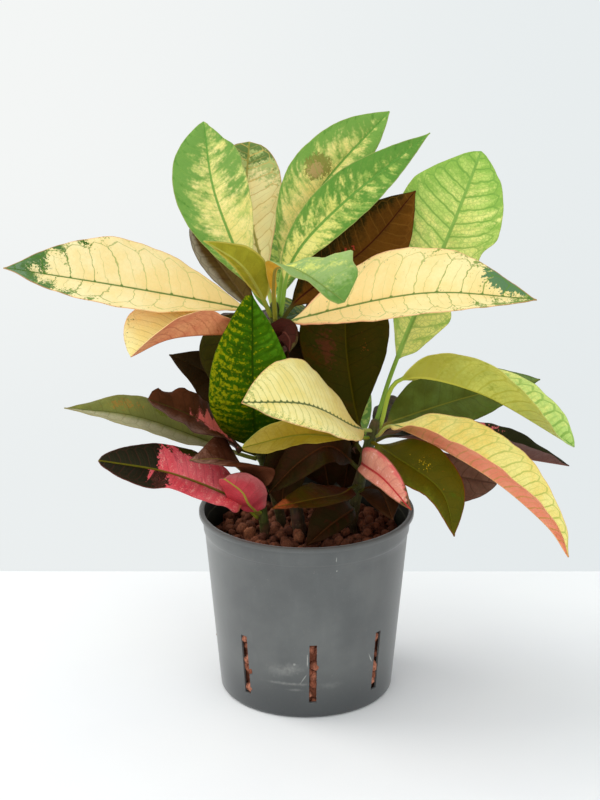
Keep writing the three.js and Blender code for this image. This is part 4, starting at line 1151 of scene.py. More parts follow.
@dataclass
class Foliage:
    """The leaves, each a thin closed blade with a midrib, sunken side veins and a round stalk."""

    stalk_width: float = 2.6
    stalk_thickness: float = 2.2
    thickness: float = 0.55
    edge: float = 0.34
    tip_width: float = 0.6
    rib_height: float = 0.75
    groove: float = 0.3
    pillow: float = 0.32
    bulge: float = 0.045
    groove_width: float = 0.9
    stalk_flatness: float = 0.86
    taper: float = 0.75
    ripples: float = 2.5
    ruffle_height: float = 1.6
    seed_step: float = 3.7
    row_length: float = 1.6
    fewest_rows: int = 28
    most_rows: int = 110
    stalk_rows: int = 8
    across: tuple[float, ...] = (
        0.025, 0.06, 0.12, 0.19, 0.27, 0.35, 0.43, 0.51, 0.59, 0.67, 0.75, 0.83, 0.9, 0.955, 0.985, 1.0,
    )
    skins: dict[tuple[Skin, float], bpy.types.Material] = field(default_factory=dict)

    def root(self, leaf: Leaf) -> np.ndarray:
        """Finds where a leaf's stalk starts, just clear of its stem's skin on the side it sets out to.

        Args:
            leaf: the leaf.

        Returns:
            The place.
        """
        form = STEMS[leaf.stem]
        spine = Spine(form.path)
        share = spine.share_at_height(leaf.height)
        (centre,), (along,) = spine.at(share)
        first = np.array(leaf.path[0], float)
        outward = unit(first - centre - along * np.dot(first - centre, along))
        skin = centre + outward * np.interp(share, (0.0, 1.0), form.radii)
        slant = math.sqrt(1.0 - min(1.0, float(np.dot(unit(first - skin), outward)) ** 2))
        return skin + outward * (self.stalk_thickness / 2 * slant)

    def half_width(self, leaf: Leaf, t: np.ndarray, s: np.ndarray, side: int, seed: float) -> np.ndarray:
        """Works out half of a blade's width, with the unevenness and the bites of that side.

        Args:
            leaf: the leaf.
            t: shares of the blade's length.
            s: the same places in millimetres.
            side: -1 for the left, 1 for the right.
            seed: which leaf it is.

        Returns:
            The half widths.
        """
        inside = np.clip(t, 1e-4, 1.0 - 1e-4)
        power = leaf.point * leaf.belly / (1.0 - leaf.belly)
        share = (inside / leaf.belly) ** power * ((1.0 - inside) / (1.0 - leaf.belly)) ** leaf.point
        half = leaf.width / 2 * (leaf.left if side < 0 else leaf.right) * share
        small = 0.13 * swell(s, seed + 2.0 * side, 11.0) * np.minimum(1.0, half / 6.0)
        half = half + (0.02 * half * swell(s, seed + side, 60.0) + small)
        for bite in leaf.bites:
            if bite.side == side:
                near = np.clip(1.0 - np.abs(t - bite.at) / bite.length, 0.0, 1.0)
                half = half - bite.depth * smoothstep(2.0 * near)
        half = np.maximum(half, np.where(t < 0.5, self.stalk_width / 2, self.tip_width / 2))
        return np.where(t <= 0.0, self.stalk_width / 2, half)

    def mesh(self, leaf: Leaf, seed: float) -> bpy.types.Mesh:
        """Builds one leaf.

        Args:
            leaf: the leaf.
            seed: which leaf it is.

        Returns:
            Its closed mesh: material 0 on the upper side and 1 on the under side.
        """
        spine = Spine([tuple(self.root(leaf)), *leaf.path])
        stalk = leaf.petiole / spine.length
        blade = spine.length - leaf.petiole
        rows = max(self.fewest_rows, min(self.most_rows, round(blade / self.row_length)))
        stalk_shares = np.linspace(0.0, stalk, self.stalk_rows, endpoint=False)
        shares = np.concatenate([stalk_shares, stalk + (1.0 - stalk) * np.linspace(0.0, 1.0, rows)])
        centres, along = spine.at(shares)
        t = (shares - stalk) / (1.0 - stalk)
        grown = np.clip(t, 0.0, 1.0)
        s = t * blade

        first, last = unit(np.array(leaf.faces, float)), unit(np.array(leaf.tip_faces or leaf.faces, float))
        faces = first + (last - first) * grown[:, None]
        up = unit(faces - along * np.sum(faces * along, axis=1, keepdims=True))
        right = np.cross(along, up)

        v = np.array([-a for a in reversed(self.across)] + [0.0] + list(self.across))
        reach = np.abs(v)[None]
        sides = [self.half_width(leaf, t, s, side, seed)[:, None] for side in (-1, 1)]
        half = np.where(v < 0.0, *sides)
        x = v[None] * half
        fold_end = leaf.fold if leaf.tip_fold is None else leaf.tip_fold
        fold = np.radians(leaf.fold + (fold_end - leaf.fold) * grown) * smoothstep(grown / 0.15)
        cos, sin = np.cos(fold)[:, None], np.sin(fold)[:, None]

        def by_side(left: float, right: float, period: float) -> np.ndarray:
            """Returns a wander along the blade that has one seed on its left half and another on its right."""
            return np.where(v < 0.0, *(swell(s, seed + more, period)[:, None] for more in (left, right)))

        phase = (s[:, None] - leaf.lean * np.abs(x) - leaf.hook * half * reach**5) / leaf.veins
        phase = phase + 0.12 * by_side(0.0, 5.0, 47.0)
        phase = phase + np.where(v < 0.0, 0.0, 0.5) + 40.0
        apart = 1.0 - np.abs(2.0 * np.mod(phase, 1.0) - 1.0)
        body = smoothstep(grown / 0.16)[:, None] * smoothstep((1.0 - grown) / 0.06)[:, None]
        lift = self.pillow * np.sqrt(apart) * (1.0 - reach**4) * np.minimum(1.0, reach / 0.08) * body
        lift = lift + self.bulge * half * 4.0 * reach * (1.0 - reach) * body
        swing = np.sin(2.0 * np.pi * self.ripples * grown[:, None] + 1.9 * np.sign(v))
        ripple = leaf.wave * np.sin(np.pi * grown)[:, None] * reach**2 * swing
        ruffle = leaf.ruffle * body * reach**3 * by_side(7.0, 9.0, 38.0)
        rise = np.abs(x) * sin + lift + ripple + self.ruffle_height * ruffle
        middle = centres[:, None] + right[:, None] * (x * cos)[..., None] + up[:, None] * rise[..., None]

        lean = np.clip(v / 0.12, -1.0, 1.0)[None, :, None]
        skin = unit(up[:, None] * cos[..., None] - right[:, None] * sin[..., None] * lean)
        upper, lower = self.depths(x, reach, grown[:, None], body)
        points = np.concatenate([middle + skin * upper[..., None], middle - skin * lower[..., None]]).reshape(-1, 3)
        mesh = self.shell(f"blade_{leaf.name}", points, len(shares), len(v))
        wide = np.ones((len(shares), len(v)))
        across = v[None] * wide
        for name, values in (
            ("place", np.stack([s[:, None] * wide, x, seed * self.seed_step * wide], axis=-1)),
            ("share", np.stack([t[:, None] * wide, across, half], axis=-1)),
            ("vein", phase),
        ):
            note(mesh, name, self.twice(values))
        self.chart(mesh, np.stack([0.5 + 0.24 * across, shares[:, None] * wide], axis=-1))
        return mesh

    def depths(
        self, x: np.ndarray, reach: np.ndarray, grown: np.ndarray, body: np.ndarray
    ) -> tuple[np.ndarray, np.ndarray]:
        """Works out how far a leaf's two skins lie from its middle: round at the stalk, ribbed below the blade.

        Args:
            x: places across the leaf.
            reach: the same places as shares of the half width.
            grown: shares of the blade's length.
            body: how much of a blade the leaf is there, from 0 to 1.

        Returns:
            The depths of the upper and of the under skin.
        """
        leafy = smoothstep(grown / 0.14)
        stalk = self.stalk_thickness / 2 * np.sqrt(1.0 - self.stalk_flatness * reach**2)
        flat = (self.thickness + (self.edge - self.thickness) * reach) / 2
        slender = 1.0 - self.taper * grown
        groove = self.groove * slender * np.exp(-((x / self.groove_width) ** 2)) * body
        rib = self.rib_height * slender * np.exp(-((x / (0.5 + 0.9 * slender)) ** 2))
        return stalk + (flat - groove - stalk) * leafy, stalk + (flat + rib - stalk) * leafy

    def twice(self, values: np.ndarray) -> np.ndarray:
        """Returns the values of a blade's rows and columns, once for its upper and once for its under side."""
        return np.concatenate([values.reshape(values.shape[0] * values.shape[1], -1)] * 2).squeeze()

    def shell(self, name: str, points: np.ndarray, n: int, m: int) -> bpy.types.Mesh:
        """Closes two sides into one mesh.

        Args:
            name: what it is called.
            points: the upper side's points, row by row, and then the under side's.
            n: how many rows a side has.
            m: how many columns it has.

        Returns:
            The mesh: material 0 on the upper side and 1 on the under side.
        """
        i, k = (a.ravel() for a in np.meshgrid(np.arange(n - 1), np.arange(m - 1), indexing="ij"))
        a, c, j = i * m + k, (i + 1) * m + k, np.arange(n - 1) * m
        e = j + m - 1
        corners = (
            (a, a + 1, c + 1, c),
            (a + n * m, c + n * m, c + 1 + n * m, a + 1 + n * m),
            (j, j + m, j + m + n * m, j + n * m),
            (e, e + n * m, e + m + n * m, e + m),
        )
        faces = np.vstack([np.stack(four, axis=1) for four in corners]).tolist()
        start = [*range(m - 1, -1, -1), *range(n * m, n * m + m)]
        end = [*range((n - 1) * m, n * m), *range(2 * n * m - 1, 2 * n * m - m - 1, -1)]
        mesh = mesh_from(name, points, [*faces, start, end])
        number = np.zeros(len(mesh.polygons), np.int32)
        number[len(a) : 2 * len(a)] = 1
        mesh.polygons.foreach_set("material_index", number)
        return mesh

    def chart(self, mesh: bpy.types.Mesh, places: np.ndarray) -> None:
        """Lays both sides of a blade side by side on a flat chart.

        Args:
            mesh: the blade.
            places: where the points of one side lie across and along it.
        """
        place = self.twice(places)
        count = len(place) // 2
        place[:count, 0] -= 0.25
        place[count:, 0] += 0.25
        corner = np.zeros(len(mesh.loops), np.int32)
        mesh.loops.foreach_get("vertex_index", corner)
        mesh.uv_layers.new(name="blade").data.foreach_set("uv", place[corner].astype(np.float32).ravel())

    def build(self) -> None:
        """Makes every leaf and puts it in its node's place."""
        blotch_tree, vein_tree = BlotchTree().build(), VeinTree().build()
        for number, leaf in enumerate(LEAVES):
            skins = []
            for skin in (leaf.upper, leaf.under):
                key = (skin, leaf.veins)
                if key not in self.skins:
                    name = f"{skin.name.lower()}_{leaf.veins:g}"
                    self.skins[key] = skin.value.material(name, leaf.veins, blotch_tree, vein_tree)
                skins.append(self.skins[key])
            mesh = self.mesh(leaf, float(number + 1))
            stand_in_for(f"leaf_{leaf.name}", f"blade_{leaf.name}", mesh, skins)


# ---------------------------------------------------------------- pot


@dataclass(frozen=True)
class Mark:
    """A scuff or smudge on the pot: where it is, how wide and high it is, and how strong.

    Slant is how far it moves to the side as it climbs, and core how far from its middle it starts to fade.
    """

    angle: float
    height: float
    width: float
    tall: float
    strength: float
    slant: float = 0.0
    core: float = 0.4


@dataclass
class Pot:
    """The thin-walled growing pot, with its collar, lip, slits and drain holes."""

    height: float = 115
    base_radius: float = 52.6
    mouth_radius: float = 62.7
    wall: float = 1.4
    floor: float = 2
    foot_round: float = 2.4
    collar_height: float = 13
    collar_step: float = 0.6
    lip_radius: float = 65
    lip_height: float = 3.2
    slits: int = 8
    slit_width: float = 4.5
    slit_bottom: float = 11
    slit_top: float = 50
    first_slit: float = -86
    drains: int = 6
    drain_width: float = 4
    drain_inner: float = 18
    drain_outer: float = 40
    columns: int = 144
    marks: tuple[Mark, ...] = (
        Mark(-131, 44, 1.2, 7, 0.9), Mark(-129.5, 36, 0.9, 5, 0.7), Mark(-89.5, 40, 0.8, 9, 0.8),
        Mark(-46.5, 34, 0.9, 6, 0.9, -0.5), Mark(-99, 34, 15, 9, 0.3, 0, -0.5), Mark(-107, 32, 20, 10, 0.25, 0, -0.5),
        Mark(-101, 23.5, 34, 2.4, 0.35, 0, -0.4), Mark(-97, 19.5, 12, 2, 0.25, 0, -0.3),
        Mark(-76, 22, 20, 6, 0.14, 0, -0.5), Mark(-97.5, 37, 2, 2, 0.45), Mark(-74, 106, 0.7, 4, 0.7),
        Mark(-73.4, 98.5, 1.0, 1.2, 0.7), Mark(-92, 27, 0.8, 7, 0.5, 0.6),
    )

    def radius(self, height: float) -> float:
        """Returns the wall's outer radius at a height."""
        return self.base_radius + (self.mouth_radius - self.base_radius) * height / self.height

    def section(self) -> tuple[list[tuple[float, float]], dict[str, int]]:
        """Works out the wall's closed section, from the middle of the base round to the middle of the floor.

        Returns:
            Its (radius, height) points, and the rows at which the slits and drains begin and end.
        """
        collar, lip = self.height - self.collar_height, self.height - self.lip_height
        slit_rows = np.linspace(self.slit_bottom, self.slit_top, 7)
        drain_rows = np.linspace(self.drain_inner, self.drain_outer, 5)
        outer, rows = [(0.0, 0.0), (9.0, 0.0)], {}
        rows["drain_out"] = len(outer)
        outer += [(r, 0.0) for r in drain_rows]
        outer.append((self.base_radius - self.foot_round, 0.0))
        for a in (20, 45, 70, 90):
            turn = math.radians(a)
            across = self.radius(self.foot_round) - self.foot_round * (1 - math.sin(turn))
            outer.append((across, self.foot_round * (1 - math.cos(turn))))
        outer.append((self.radius(6), 6.0))
        rows["slit_out"] = len(outer)
        outer += [(self.radius(z), z) for z in slit_rows]
        outer += [(self.radius(z), z) for z in (60, 70, 80, 90, 98, collar)]
        step = self.collar_step
        rises = ((collar + 0.5, 0.4), (collar + 1.0, 1.0), (collar + 3.0, 1.0))
        outer += [(self.radius(z) + step * share, z) for z, share in rises]
        outer += [(self.radius(lip) + step, lip - 0.3), (self.radius(lip) + step + 0.4, lip)]
        top, tip = self.height, self.lip_radius
        outer += [(tip - 0.2, lip + 0.35), (tip, lip + 0.8), (tip, top - 0.8)]
        outer += [(tip - 0.25, top - 0.25), (tip - 0.8, top)]
        outer += [(self.mouth_radius + more, top - down) for more, down in ((0.1, 0), (-0.5, 0.2), (-0.9, 0.9))]
        outer += [(self.radius(z) - self.wall, z) for z in (collar, 98, 90, 80, 70, 60)]
        rows["slit_in"] = len(outer)
        outer += [(self.radius(z) - self.wall, z) for z in reversed(slit_rows)]
        outer += [(self.radius(4) - self.wall, 4.0), (self.radius(2.6) - self.wall - 0.5, self.floor + 0.2)]
        outer.append((self.radius(2.0) - self.wall - 1.6, self.floor))
        rows["drain_in"] = len(outer)
        outer += [(r, self.floor) for r in reversed(drain_rows)]
        outer += [(9.0, self.floor), (0.0, self.floor)]
        return outer, rows

    def angles(self, radius: float, drained: bool) -> np.ndarray:
        """Works out where the columns stand at a radius, with straight-sided slits or drains.

        Args:
            radius: the radius.
            drained: True in the base, False in the wall.

        Returns:
            The angles, in degrees.
        """
        step = 360.0 / self.columns
        angles = self.first_slit + (1.0 if drained else 0.0) + step * np.arange(self.columns)
        every, reach = (self.columns // self.drains, 2) if drained else (self.columns // self.slits, 1)
        width = self.drain_width if drained else self.slit_width
        edge = math.degrees(math.asin(width / 2 / max(radius, self.drain_inner)))
        for middle in range(self.first_column(drained), self.columns + every, every):
            centre = self.first_slit + (1.0 if drained else 0.0) + step * middle
            for k in range(-reach, reach + 1):
                turns, column = divmod(middle + k, self.columns)
                angles[column] = centre + edge * k / reach - 360.0 * turns
        return angles

    def first_column(self, drained: bool) -> int:
        """Returns the column in the middle of the first drain or slit."""
        return 10 if drained else 0

    def holes(self, rows: dict[str, int]) -> Iterable[tuple[int, int, int, list[int]]]:
        """Lists the slits and drains.

        Args:
            rows: the rows at which they begin, outside and inside.

        Yields:
            The first row outside, the first row inside, how many rows there are, and the columns.
        """
        for drained, kind, count in ((False, "slit", 6), (True, "drain", 4)):
            number = self.drains if drained else self.slits
            reach = 2 if drained else 1
            for n in range(number):
                middle = self.first_column(drained) + n * (self.columns // number)
                yield rows[f"{kind}_out"], rows[f"{kind}_in"], count, list(range(middle - reach, middle + reach))

    def mesh(self) -> bpy.types.Mesh:
        """Builds the pot.

        Returns:
            Its closed mesh: material 0 outside and 1 inside, the inside being the same plastic painted darker as
                shade.
        """
        section, rows = self.section()
        n = self.columns
        points = []
        for r, z in section:
            drained = z <= self.floor and r < self.base_radius - 3
            points.append(ring(r, z, np.radians(self.angles(max(r, 1.0), drained))))
        gone, walls = set(), []
        for out_row, in_row, count, columns in self.holes(rows):
            last = in_row + count
            for k in range(count):
                for column in columns:
                    gone.update({(out_row + k, column % n), (in_row + k, column % n)})
                for c in (columns[0], columns[-1] + 1):
                    walls.append(((out_row + k, c), (out_row + k + 1, c), (last - k - 1, c), (last - k, c)))
            for c in columns:
                for outer, inner in ((out_row, last), (out_row + count, in_row)):
                    walls.append(((outer, c), (outer, c + 1), (inner, c + 1), (inner, c)))
        mouth = next(i for i, (r, z) in enumerate(section) if z == self.height - 0.9)
        cells = [(i, k) for i in range(len(section) - 1) for k in range(n) if (i, k) not in gone]
        faces = [quad(i, k, n) for i, k in cells]
        faces += [tuple(row * n + column % n for row, column in wall) for wall in walls]
        mesh = mesh_from("growing_pot", np.vstack(points), faces)
        mesh.polygons.foreach_set("material_index", [int(i >= mouth) for i, _ in cells] + [0] * len(walls))
        tidy_shell(mesh, sharp=35.0)
        return mesh

    def outside(self) -> bpy.types.Material:
        """Makes the outer plastic: dark grey, faintly clouded, dusty and scuffed, with painted shade darkening it
        towards the bottom and a painted shadow along the top of the lip.

        Returns:
            The material.
        """
        material, b, shader = new_material("pot_outside")
        place = b.place()
        x, y, z = b.parts(place)
        turn = b.math("ARCTAN2", y, x)
        around = b.vector(b.times(turn, 0.058), b.times(z, 0.25), 0.0)
        clouds = b.noise(place, 28.0, 4.0, 0.55)
        streaks = b.noise(around, 170.0, 3.0, 0.5)
        colour = b.blend(b.rise(clouds, 0.3, 0.7), "#545656", "#636564")
        colour = b.blend(b.times(b.rise(streaks, 0.5, 0.8), 0.06), colour, "#84888a")
        # painted shade: the plastic darkens towards the bottom
        colour = b.blend(b.rise(z, 0.004, 0.04, 0.75, 0.0), colour, "#373a3c")
        # painted shadow of the pebbles along the top of the lip
        colour = b.blend(b.rise(z, 0.1125, 0.1148, 0.0, 0.6), colour, "#3c3a36")
        dust = b.rise(b.noise(place, 1500.0, 2.0, 0.7), 0.66, 0.76)
        colour = b.blend(b.times(dust, 0.35), colour, "#a39c92")
        frayed = b.noise(place, 420.0, 3.0, 0.65)
        for mark in self.marks:
            centre = math.radians(mark.angle)
            side = b.times(b.minus(turn, centre), self.radius(mark.height) * MM)
            lift = b.minus(z, mark.height * MM)
            side = b.over(b.math("MULTIPLY_ADD", lift, -mark.slant, side), mark.width * MM / 2)
            off = b.away(side, b.over(lift, mark.tall * MM / 2))
            off = b.total(off, b.times(b.minus(frayed, 0.5), 1.6))
            colour = b.blend(b.rise(off, mark.core, 1.2, mark.strength, 0.0), colour, "#b2b2ac")
        b.fill(shader, {
            "Base Color": colour,
            "Roughness": b.rise(clouds, 0.3, 0.7, 0.44, 0.56),
            "Specular IOR Level": 0.45,
            "Sheen Weight": 0.35,
            "Sheen Roughness": 0.4,
            "Normal": b.bump(b.noise(place, 2400.0, 2.0, 0.6), 0.12, 0.0002),
        })
        return material

    def inside(self) -> bpy.types.Material:
        """Makes the inner plastic: the pot's plastic painted near black as shade, with a faint tide mark of dried
        lime.

        Returns:
            The material.
        """
        material, b, shader = new_material("pot_inside_painted_shade")
        place = b.place()
        z = b.parts(place)[2]
        clouds = b.noise(place, 90.0, 3.0, 0.6)
        line = b.size(b.minus(z, b.math("MULTIPLY_ADD", clouds, 0.004, 0.1045)))
        # painted shade: the same plastic as outside, darkened to near black
        colour = b.blend(b.rise(clouds, 0.3, 0.7), "#14160f", "#202218")
        colour = b.blend(b.rise(line, 0.0002, 0.0009, 0.5, 0.0), colour, "#6a6a58")
        b.fill(shader, {"Base Color": colour, "Roughness": 0.5, "Specular IOR Level": 0.3})
        return material

    def build(self) -> None:
        """Makes the pot and puts it in its node's place."""
        stand_in_for("pot", "growing_pot", self.mesh(), [self.outside(), self.inside()])


def tidy_shell(mesh: bpy.types.Mesh, sharp: float) -> None:
    """Merges a closed mesh's doubles, turns its faces outwards and marks its sharp edges.

    Args:
        mesh: the mesh.
        sharp: the angle between two faces from which their edge is sharp.
    """
    work = bmesh.new()
    work.from_mesh(mesh)
    bmesh.ops.remove_doubles(work, verts=work.verts, dist=1e-6)
    bmesh.ops.recalc_face_normals(work, faces=work.faces)
    for edge in work.edges:
        edge.smooth = len(edge.link_faces) == 2 and edge.calc_face_angle() < math.radians(sharp)
    work.to_mesh(mesh)
    work.free()


# ---------------------------------------------------------------- clay pebbles

BALL_POINTS = 42  # how many vertices a pebble has


@dataclass
class PebbleFill:
    """The clay pebbles: a dark heap with a skin of loose pebbles, and pebbles behind the pot's slits."""

    surface: float = 97
    crown: float = 2
    smallest: float = 2.3
    largest: float = 4.4
    lumps: float = 0.42
    forms: int = 7
    seed: int = 5
    heap_columns: int = 64
    disc_columns: int = 48
    heap_gap: float = 2.6
    strip_gap: float = 2.3
    strip_reach: float = 4.2
    heap_shade: float = 0.1

    def tree(self) -> bpy.types.NodeTree:
        """Builds the nodes that lay pebbles over a surface.

        Returns:
            The tree: the gap between pebbles, the sizes, the lumps and the seed go in as its named inputs.
        """
        tree = bpy.data.node_groups.new("pebble_layer", "GeometryNodeTree")
        sockets = {"Geometry": "Geometry", **dict.fromkeys(("Gap", "Smallest", "Largest", "Lumps"), "Float")}
        for name, kind in (sockets | {"Seed": "Int", "Skin": "Material"}).items():
            tree.interface.new_socket(name=name, in_out="INPUT", socket_type=f"NodeSocket{kind}")
        tree.interface.new_socket(name="Geometry", in_out="OUTPUT", socket_type="NodeSocketGeometry")
        b = Board(tree)
        given = b.add("NodeGroupInput").outputs
        spread = b.add(
            "GeometryNodeDistributePointsOnFaces",
            {"Mesh": given["Geometry"], "Distance Min": given["Gap"], "Density Max": 60000.0, "Seed": given["Seed"]},
            distribute_method="POISSON",
        )
        forms = b.add("GeometryNodeJoinGeometry")
        for number in range(self.forms):
            ball = b.add("GeometryNodeMeshIcoSphere", {"Radius": 1.0, "Subdivisions": 2})
            where = b.add("GeometryNodeInputPosition").outputs[0]
            shifted = b.change("ADD", {0: where, 1: (3.1 * number, 0.0, 1.7 * number)})
            bumps = b.add("ShaderNodeTexNoise", {"Vector": shifted, "Scale": 1.3, "Detail": 1.0}).outputs[0]
            push = b.times(b.minus(bumps, 0.5), b.times(given["Lumps"], 3.0))
            offset = b.change("SCALE", {0: where, "Scale": push})
            form = b.add("GeometryNodeSetPosition", {"Geometry": ball.outputs["Mesh"], "Offset": offset})
            for step in ("SetShadeSmooth", "GeometryToInstance"):
                form = b.add(f"GeometryNode{step}", {"Geometry": form.outputs[0]})
            tree.links.new(form.outputs[0], forms.inputs[0])
        seed = {"Seed": given["Seed"]}
        turn = b.chance("FLOAT_VECTOR", seed | {"Max": (6.283, 6.283, 6.283)})
        size = b.chance("FLOAT", seed | {2: given["Smallest"], 3: given["Largest"]})
        squash = b.chance("FLOAT_VECTOR", {"Min": (0.8, 0.8, 0.7), "Max": (1.15, 1.0, 0.95), "Seed": 3})
        pick = b.chance("INT", {"Min": 0, "Max": self.forms - 1, "Seed": 9})
        placed = b.add("GeometryNodeInstanceOnPoints", {
            "Points": spread.outputs["Points"], "Instance": forms.outputs[0], "Pick Instance": True,
            "Instance Index": pick.outputs[2], "Rotation": turn.outputs[0],
            "Scale": b.change("SCALE", {0: squash.outputs[0], "Scale": size.outputs[1]}),
        })
        real = b.add("GeometryNodeRealizeInstances", {"Geometry": placed.outputs[0]})
        skinned = b.add("GeometryNodeSetMaterial", {"Geometry": real.outputs[0], "Material": given["Skin"]})
        b.add("NodeGroupOutput", {"Geometry": skinned.outputs[0]})
        return tree

    def layer(
        self, tree: bpy.types.NodeTree, bed: bpy.types.Mesh, gap: float, seed: int, skin: bpy.types.Material
    ) -> bpy.types.Mesh:
        """Lays pebbles over a surface.

        Args:
            tree: the nodes that do it.
            bed: the surface.
            gap: the least distance between two pebbles' middles.
            seed: which of the many ways they can lie.
            skin: their material.

        Returns:
            Their plain mesh.
        """
        holder = put("pebble_bed", bed)
        modifier = holder.modifiers.new("pebbles", "NODES")
        modifier.node_group = tree
        given = {item.name: item.identifier for item in tree.interface.items_tree if item.in_out == "INPUT"}
        sizes = {"Gap": gap * MM, "Smallest": self.smallest * MM, "Largest": self.largest * MM}
        for name, value in (sizes | {"Lumps": self.lumps, "Seed": seed, "Skin": skin}).items():
            modifier[given[name]] = value
        bpy.context.view_layer.update()
        graph = bpy.context.evaluated_depsgraph_get()
        mesh = bpy.data.meshes.new_from_object(holder.evaluated_get(graph), depsgraph=graph)
        bpy.data.objects.remove(holder)
        return mesh

    def heap(self, pot: Pot) -> bpy.types.Mesh:
        """Makes the closed dark heap under the loose pebbles.

        Args:
            pot: the pot that it fills.

        Returns:
            Its mesh.
        """
        room = {z: pot.radius(z) - pot.wall - self.heap_gap for z in (2.5, 5.0, 30.0, 60.0, self.surface - 1.2)}
        top = max(room)
        outline = [(0.0, 2.5), (room.pop(2.5) - 2, 2.5), *((r, z) for z, r in room.items())]
        outline += [(30.0, top + 0.7), (0.0, top + self.crown)]
        n = self.heap_columns
        turn = np.linspace(0.0, 2.0 * math.pi, n, endpoint=False)
        mesh = mesh_from("pebble_heap", np.vstack([ring(r, z, turn) for r, z in outline]), tube(len(outline), n))
        tidy_shell(mesh, sharp=40.0)
        return mesh

    def disc(self, radius: float, height: float, crown: float) -> bpy.types.Mesh:
        """Makes a round, slightly raised surface.

        Args:
            radius: its radius.
            height: its height at its edge.
            crown: how much higher its middle is.

        Returns:
            Its mesh.
        """
        n = self.disc_columns
        edge = ring(radius, height, np.linspace(0.0, 2.0 * math.pi, n, endpoint=False))
        points = np.vstack([edge, [[0.0, 0.0, height + crown]]])
        return mesh_from("disc", points, [(k, (k + 1) % n, n) for k in range(n)])

    def strips(self, pot: Pot) -> bpy.types.Mesh:
        """Makes the upright strips behind the slits.

        Args:
            pot: the pot.

        Returns:
            Their mesh.
        """
        points, faces = [], []
        for n in range(pot.slits):
            middle = math.radians(pot.first_slit + n * 360.0 / pot.slits)
            for z in (pot.slit_bottom - 2, pot.slit_top + 2):
                r = pot.radius(z) - pot.wall - self.strip_gap
                points += [(r * math.cos(turn), r * math.sin(turn), z) for turn in self.strip_turns(middle, r)]
            faces.append((4 * n, 4 * n + 1, 4 * n + 3, 4 * n + 2))
        return mesh_from("strips", np.array(points), faces)

    def strip_turns(self, middle: float, radius: float) -> tuple[float, float]:
        """Returns the angles of a strip's two edges."""
        return middle - self.strip_reach / radius, middle + self.strip_reach / radius

    def skin(self) -> bpy.types.Material:
        """Makes the fired clay: brown, each pebble its own shade, pitted and dull, with the pebbles at the top of the
        fill given darker colours than those low behind the slits, a painted shade.

        Returns:
            The material.
        """
        material, b, shader = new_material("fired_clay")
        place = b.place()
        stone = b.noted("stone")
        # painted light and shade: the pebbles at the top of the fill take a darker copy of the clay's colours, those
        # low behind the slits a lighter one
        low = b.rise(b.parts(place)[2], 0.06, 0.08, 1.0, 0.0)
        shade = b.blend(stone, "#5a3020", "#8a5238")
        shade = b.blend(b.rise(stone, 0.92, 0.96), shade, "#945a3c")
        bright = b.blend(stone, "#8a4e38", "#c8846a")
        colour = b.blend(low, shade, bright)
        grit = b.noise(place, 700.0, 4.0, 0.7)
        colour = b.blend(b.rise(grit, 0.35, 0.62, 0.55, 0.0), colour, "#33190f")
        chalk = b.rise(b.noise(place, 1600.0, 2.0, 0.6), 0.62, 0.75, 0.0, 0.4)
        colour = b.blend(chalk, colour, "#b58a66")
        height = b.total(grit, b.times(b.noise(place, 2600.0, 2.0), 0.5))
        relief = b.bump(height, 0.8, 0.0005)
        b.fill(shader, {"Base Color": colour, "Roughness": 0.9, "Specular IOR Level": 0.2, "Normal": relief})
        return material

    def build(self, pot: Pot) -> None:
        """Makes the filling and puts it in its node's place.

        Args:
            pot: the pot that it fills.
        """
        skin = self.skin()
        tree = self.tree()
        room = pot.radius(self.surface) - pot.wall - self.largest - 0.4
        beds = (
            (self.disc(room, self.surface + 0.4, self.crown), 5.2),
            (self.disc(room - 1.0, self.surface + 3.4, self.crown), 6.4),
            (self.strips(pot), 4.3),
        )
        work = bmesh.new()
        for number, (bed, gap) in enumerate(beds):
            work.from_mesh(self.layer(tree, bed, gap, self.seed + number, skin))
        loose = len(work.verts)
        work.from_mesh(self.heap(pot))
        mesh = bpy.data.meshes.new("pebbles")
        work.to_mesh(mesh)
        work.free()
        stones = np.arange(len(mesh.vertices)) // BALL_POINTS
        shades = np.modf(np.abs(np.sin(stones * 12.9898) * 43758.5453))[0]
        shades[loose:] = self.heap_shade
        note(mesh, "stone", shades)
        mesh.materials.clear()
        stand_in_for("substrate", "pebbles", mesh, [skin])


# ---------------------------------------------------------------- camera and studio


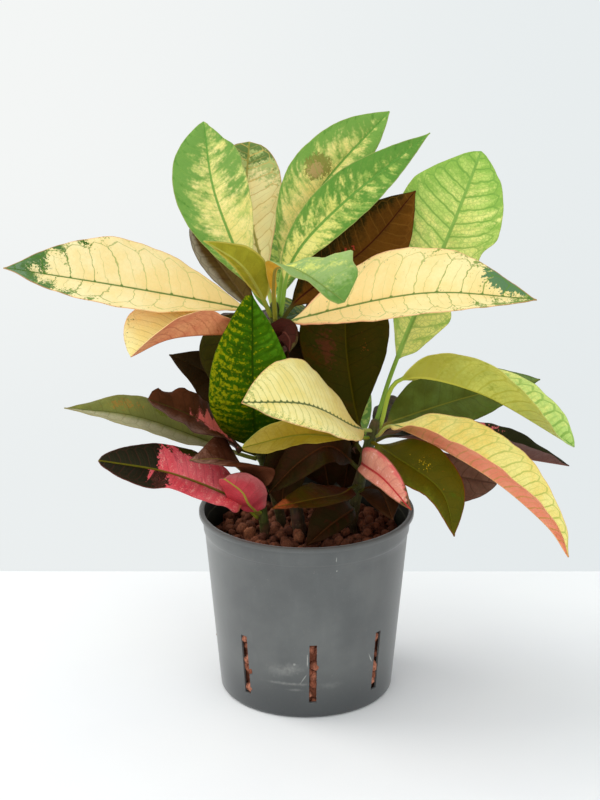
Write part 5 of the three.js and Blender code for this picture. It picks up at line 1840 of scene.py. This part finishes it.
@dataclass
class Studio:
    """The pale table, the soft light from the left and the camera where the photograph was taken from."""

    eye: Point = (-3.9, -1182, 586)
    tilt: float = 18.8
    lens: float = 94.5
    table_back: float = 168
    table_colour: str = "#f0f1f2"
    key_place: Point = (-1500, 430, 1350)
    key_size: float = 1300
    key_power: float = 18
    fill: float = 1.0
    front: float = 0.55

    def camera(self) -> None:
        """Makes the camera."""
        data = bpy.data.cameras.new("camera")
        data.lens = self.lens
        data.sensor_width = 36.0
        data.clip_start, data.clip_end = 0.05, 20.0
        eye = put("camera", data)
        eye.location = [c * MM for c in self.eye]
        eye.rotation_euler = (math.radians(90.0 - self.tilt), 0.0, 0.0)
        bpy.context.scene.camera = eye

    def table(self) -> None:
        """Makes the table that the pot stands on."""
        xs, ys = (-1600, 1600), (-2600, self.table_back)
        points = np.array([(x, y, z) for z in (-30, 0) for y in ys for x in xs], float)
        faces = [(0, 2, 3, 1), (4, 5, 7, 6), (0, 1, 5, 4), (2, 6, 7, 3), (0, 4, 6, 2), (1, 3, 7, 5)]
        mesh = mesh_from("table", points, faces)
        mesh.polygons.foreach_set("use_smooth", [False] * len(mesh.polygons))
        material, b, shader = new_material("table_top")
        place = b.place()
        grain = b.noise(place, 6.0, 3.0, 0.5)
        colour = b.blend(b.rise(grain, 0.3, 0.7), "#edeef0", self.table_colour)
        b.fill(shader, {"Base Color": colour, "Roughness": 0.7, "Specular IOR Level": 0.2})
        mesh.materials.append(material)
        table = put("table", mesh)

    def lights(self) -> None:
        """Makes the large soft light from the left and the pale room round the table."""
        data = bpy.data.lights.new("key", "AREA")
        data.shape = "DISK"
        data.size = self.key_size * MM
        data.energy = self.key_power
        data.color = (1.0, 0.985, 0.96)
        key = put("key", data)
        key.location = [c * MM for c in self.key_place]
        aim = np.array([0.0, 0.0, 150.0]) - np.array(self.key_place)
        flat = math.hypot(aim[0], aim[1])
        key.rotation_euler = (math.atan2(flat, -aim[2]), 0.0, math.atan2(aim[1], aim[0]) - math.pi / 2)

        world = bpy.data.worlds.new("room")
        world.use_nodes = True
        b = Board(world.node_tree)
        ground = world.node_tree.nodes["Background"]
        x, y, z = b.parts(b.add("ShaderNodeTexCoord").outputs["Generated"])
        wall = b.blend(b.rise(x, -0.15, 0.15), "#f4f6f5", "#e8edee")
        wall = b.blend(b.rise(z, -0.36, -0.2, 0.5, 0.0), wall, "#e2e8ea")
        seen = b.add("ShaderNodeLightPath").outputs["Is Camera Ray"]
        room = b.math("MULTIPLY_ADD", b.most(b.times(y, -1.0), 0.0), self.front, self.fill)
        b.fill(ground, {"Color": wall, "Strength": b.most(seen, b.times(room, b.minus(1.0, seen)))})
        bpy.context.scene.world = world

    def build(self) -> None:
        """Sets the stage."""
        self.camera()
        self.table()
        self.lights()
        bpy.context.scene.view_settings.view_transform = "Standard"


def write_sizes() -> None:
    """Brings the view layer up to date; no boxes are written."""
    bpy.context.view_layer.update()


def main() -> None:
    """Builds the stage, then the potted croton from the pot up."""
    logging.basicConfig(level=logging.INFO, format="%(message)s")
    Studio().build()
    pot = Pot()
    pot.build()
    PebbleFill().build(pot)
    heights: dict[str, list[float]] = {name: [] for name in STEMS}
    for leaf in LEAVES:
        heights[leaf.stem].append(leaf.height)
    Stems(leaf_heights=heights).build()
    Foliage().build()
    write_sizes()


if __name__ == "__main__":
    main()
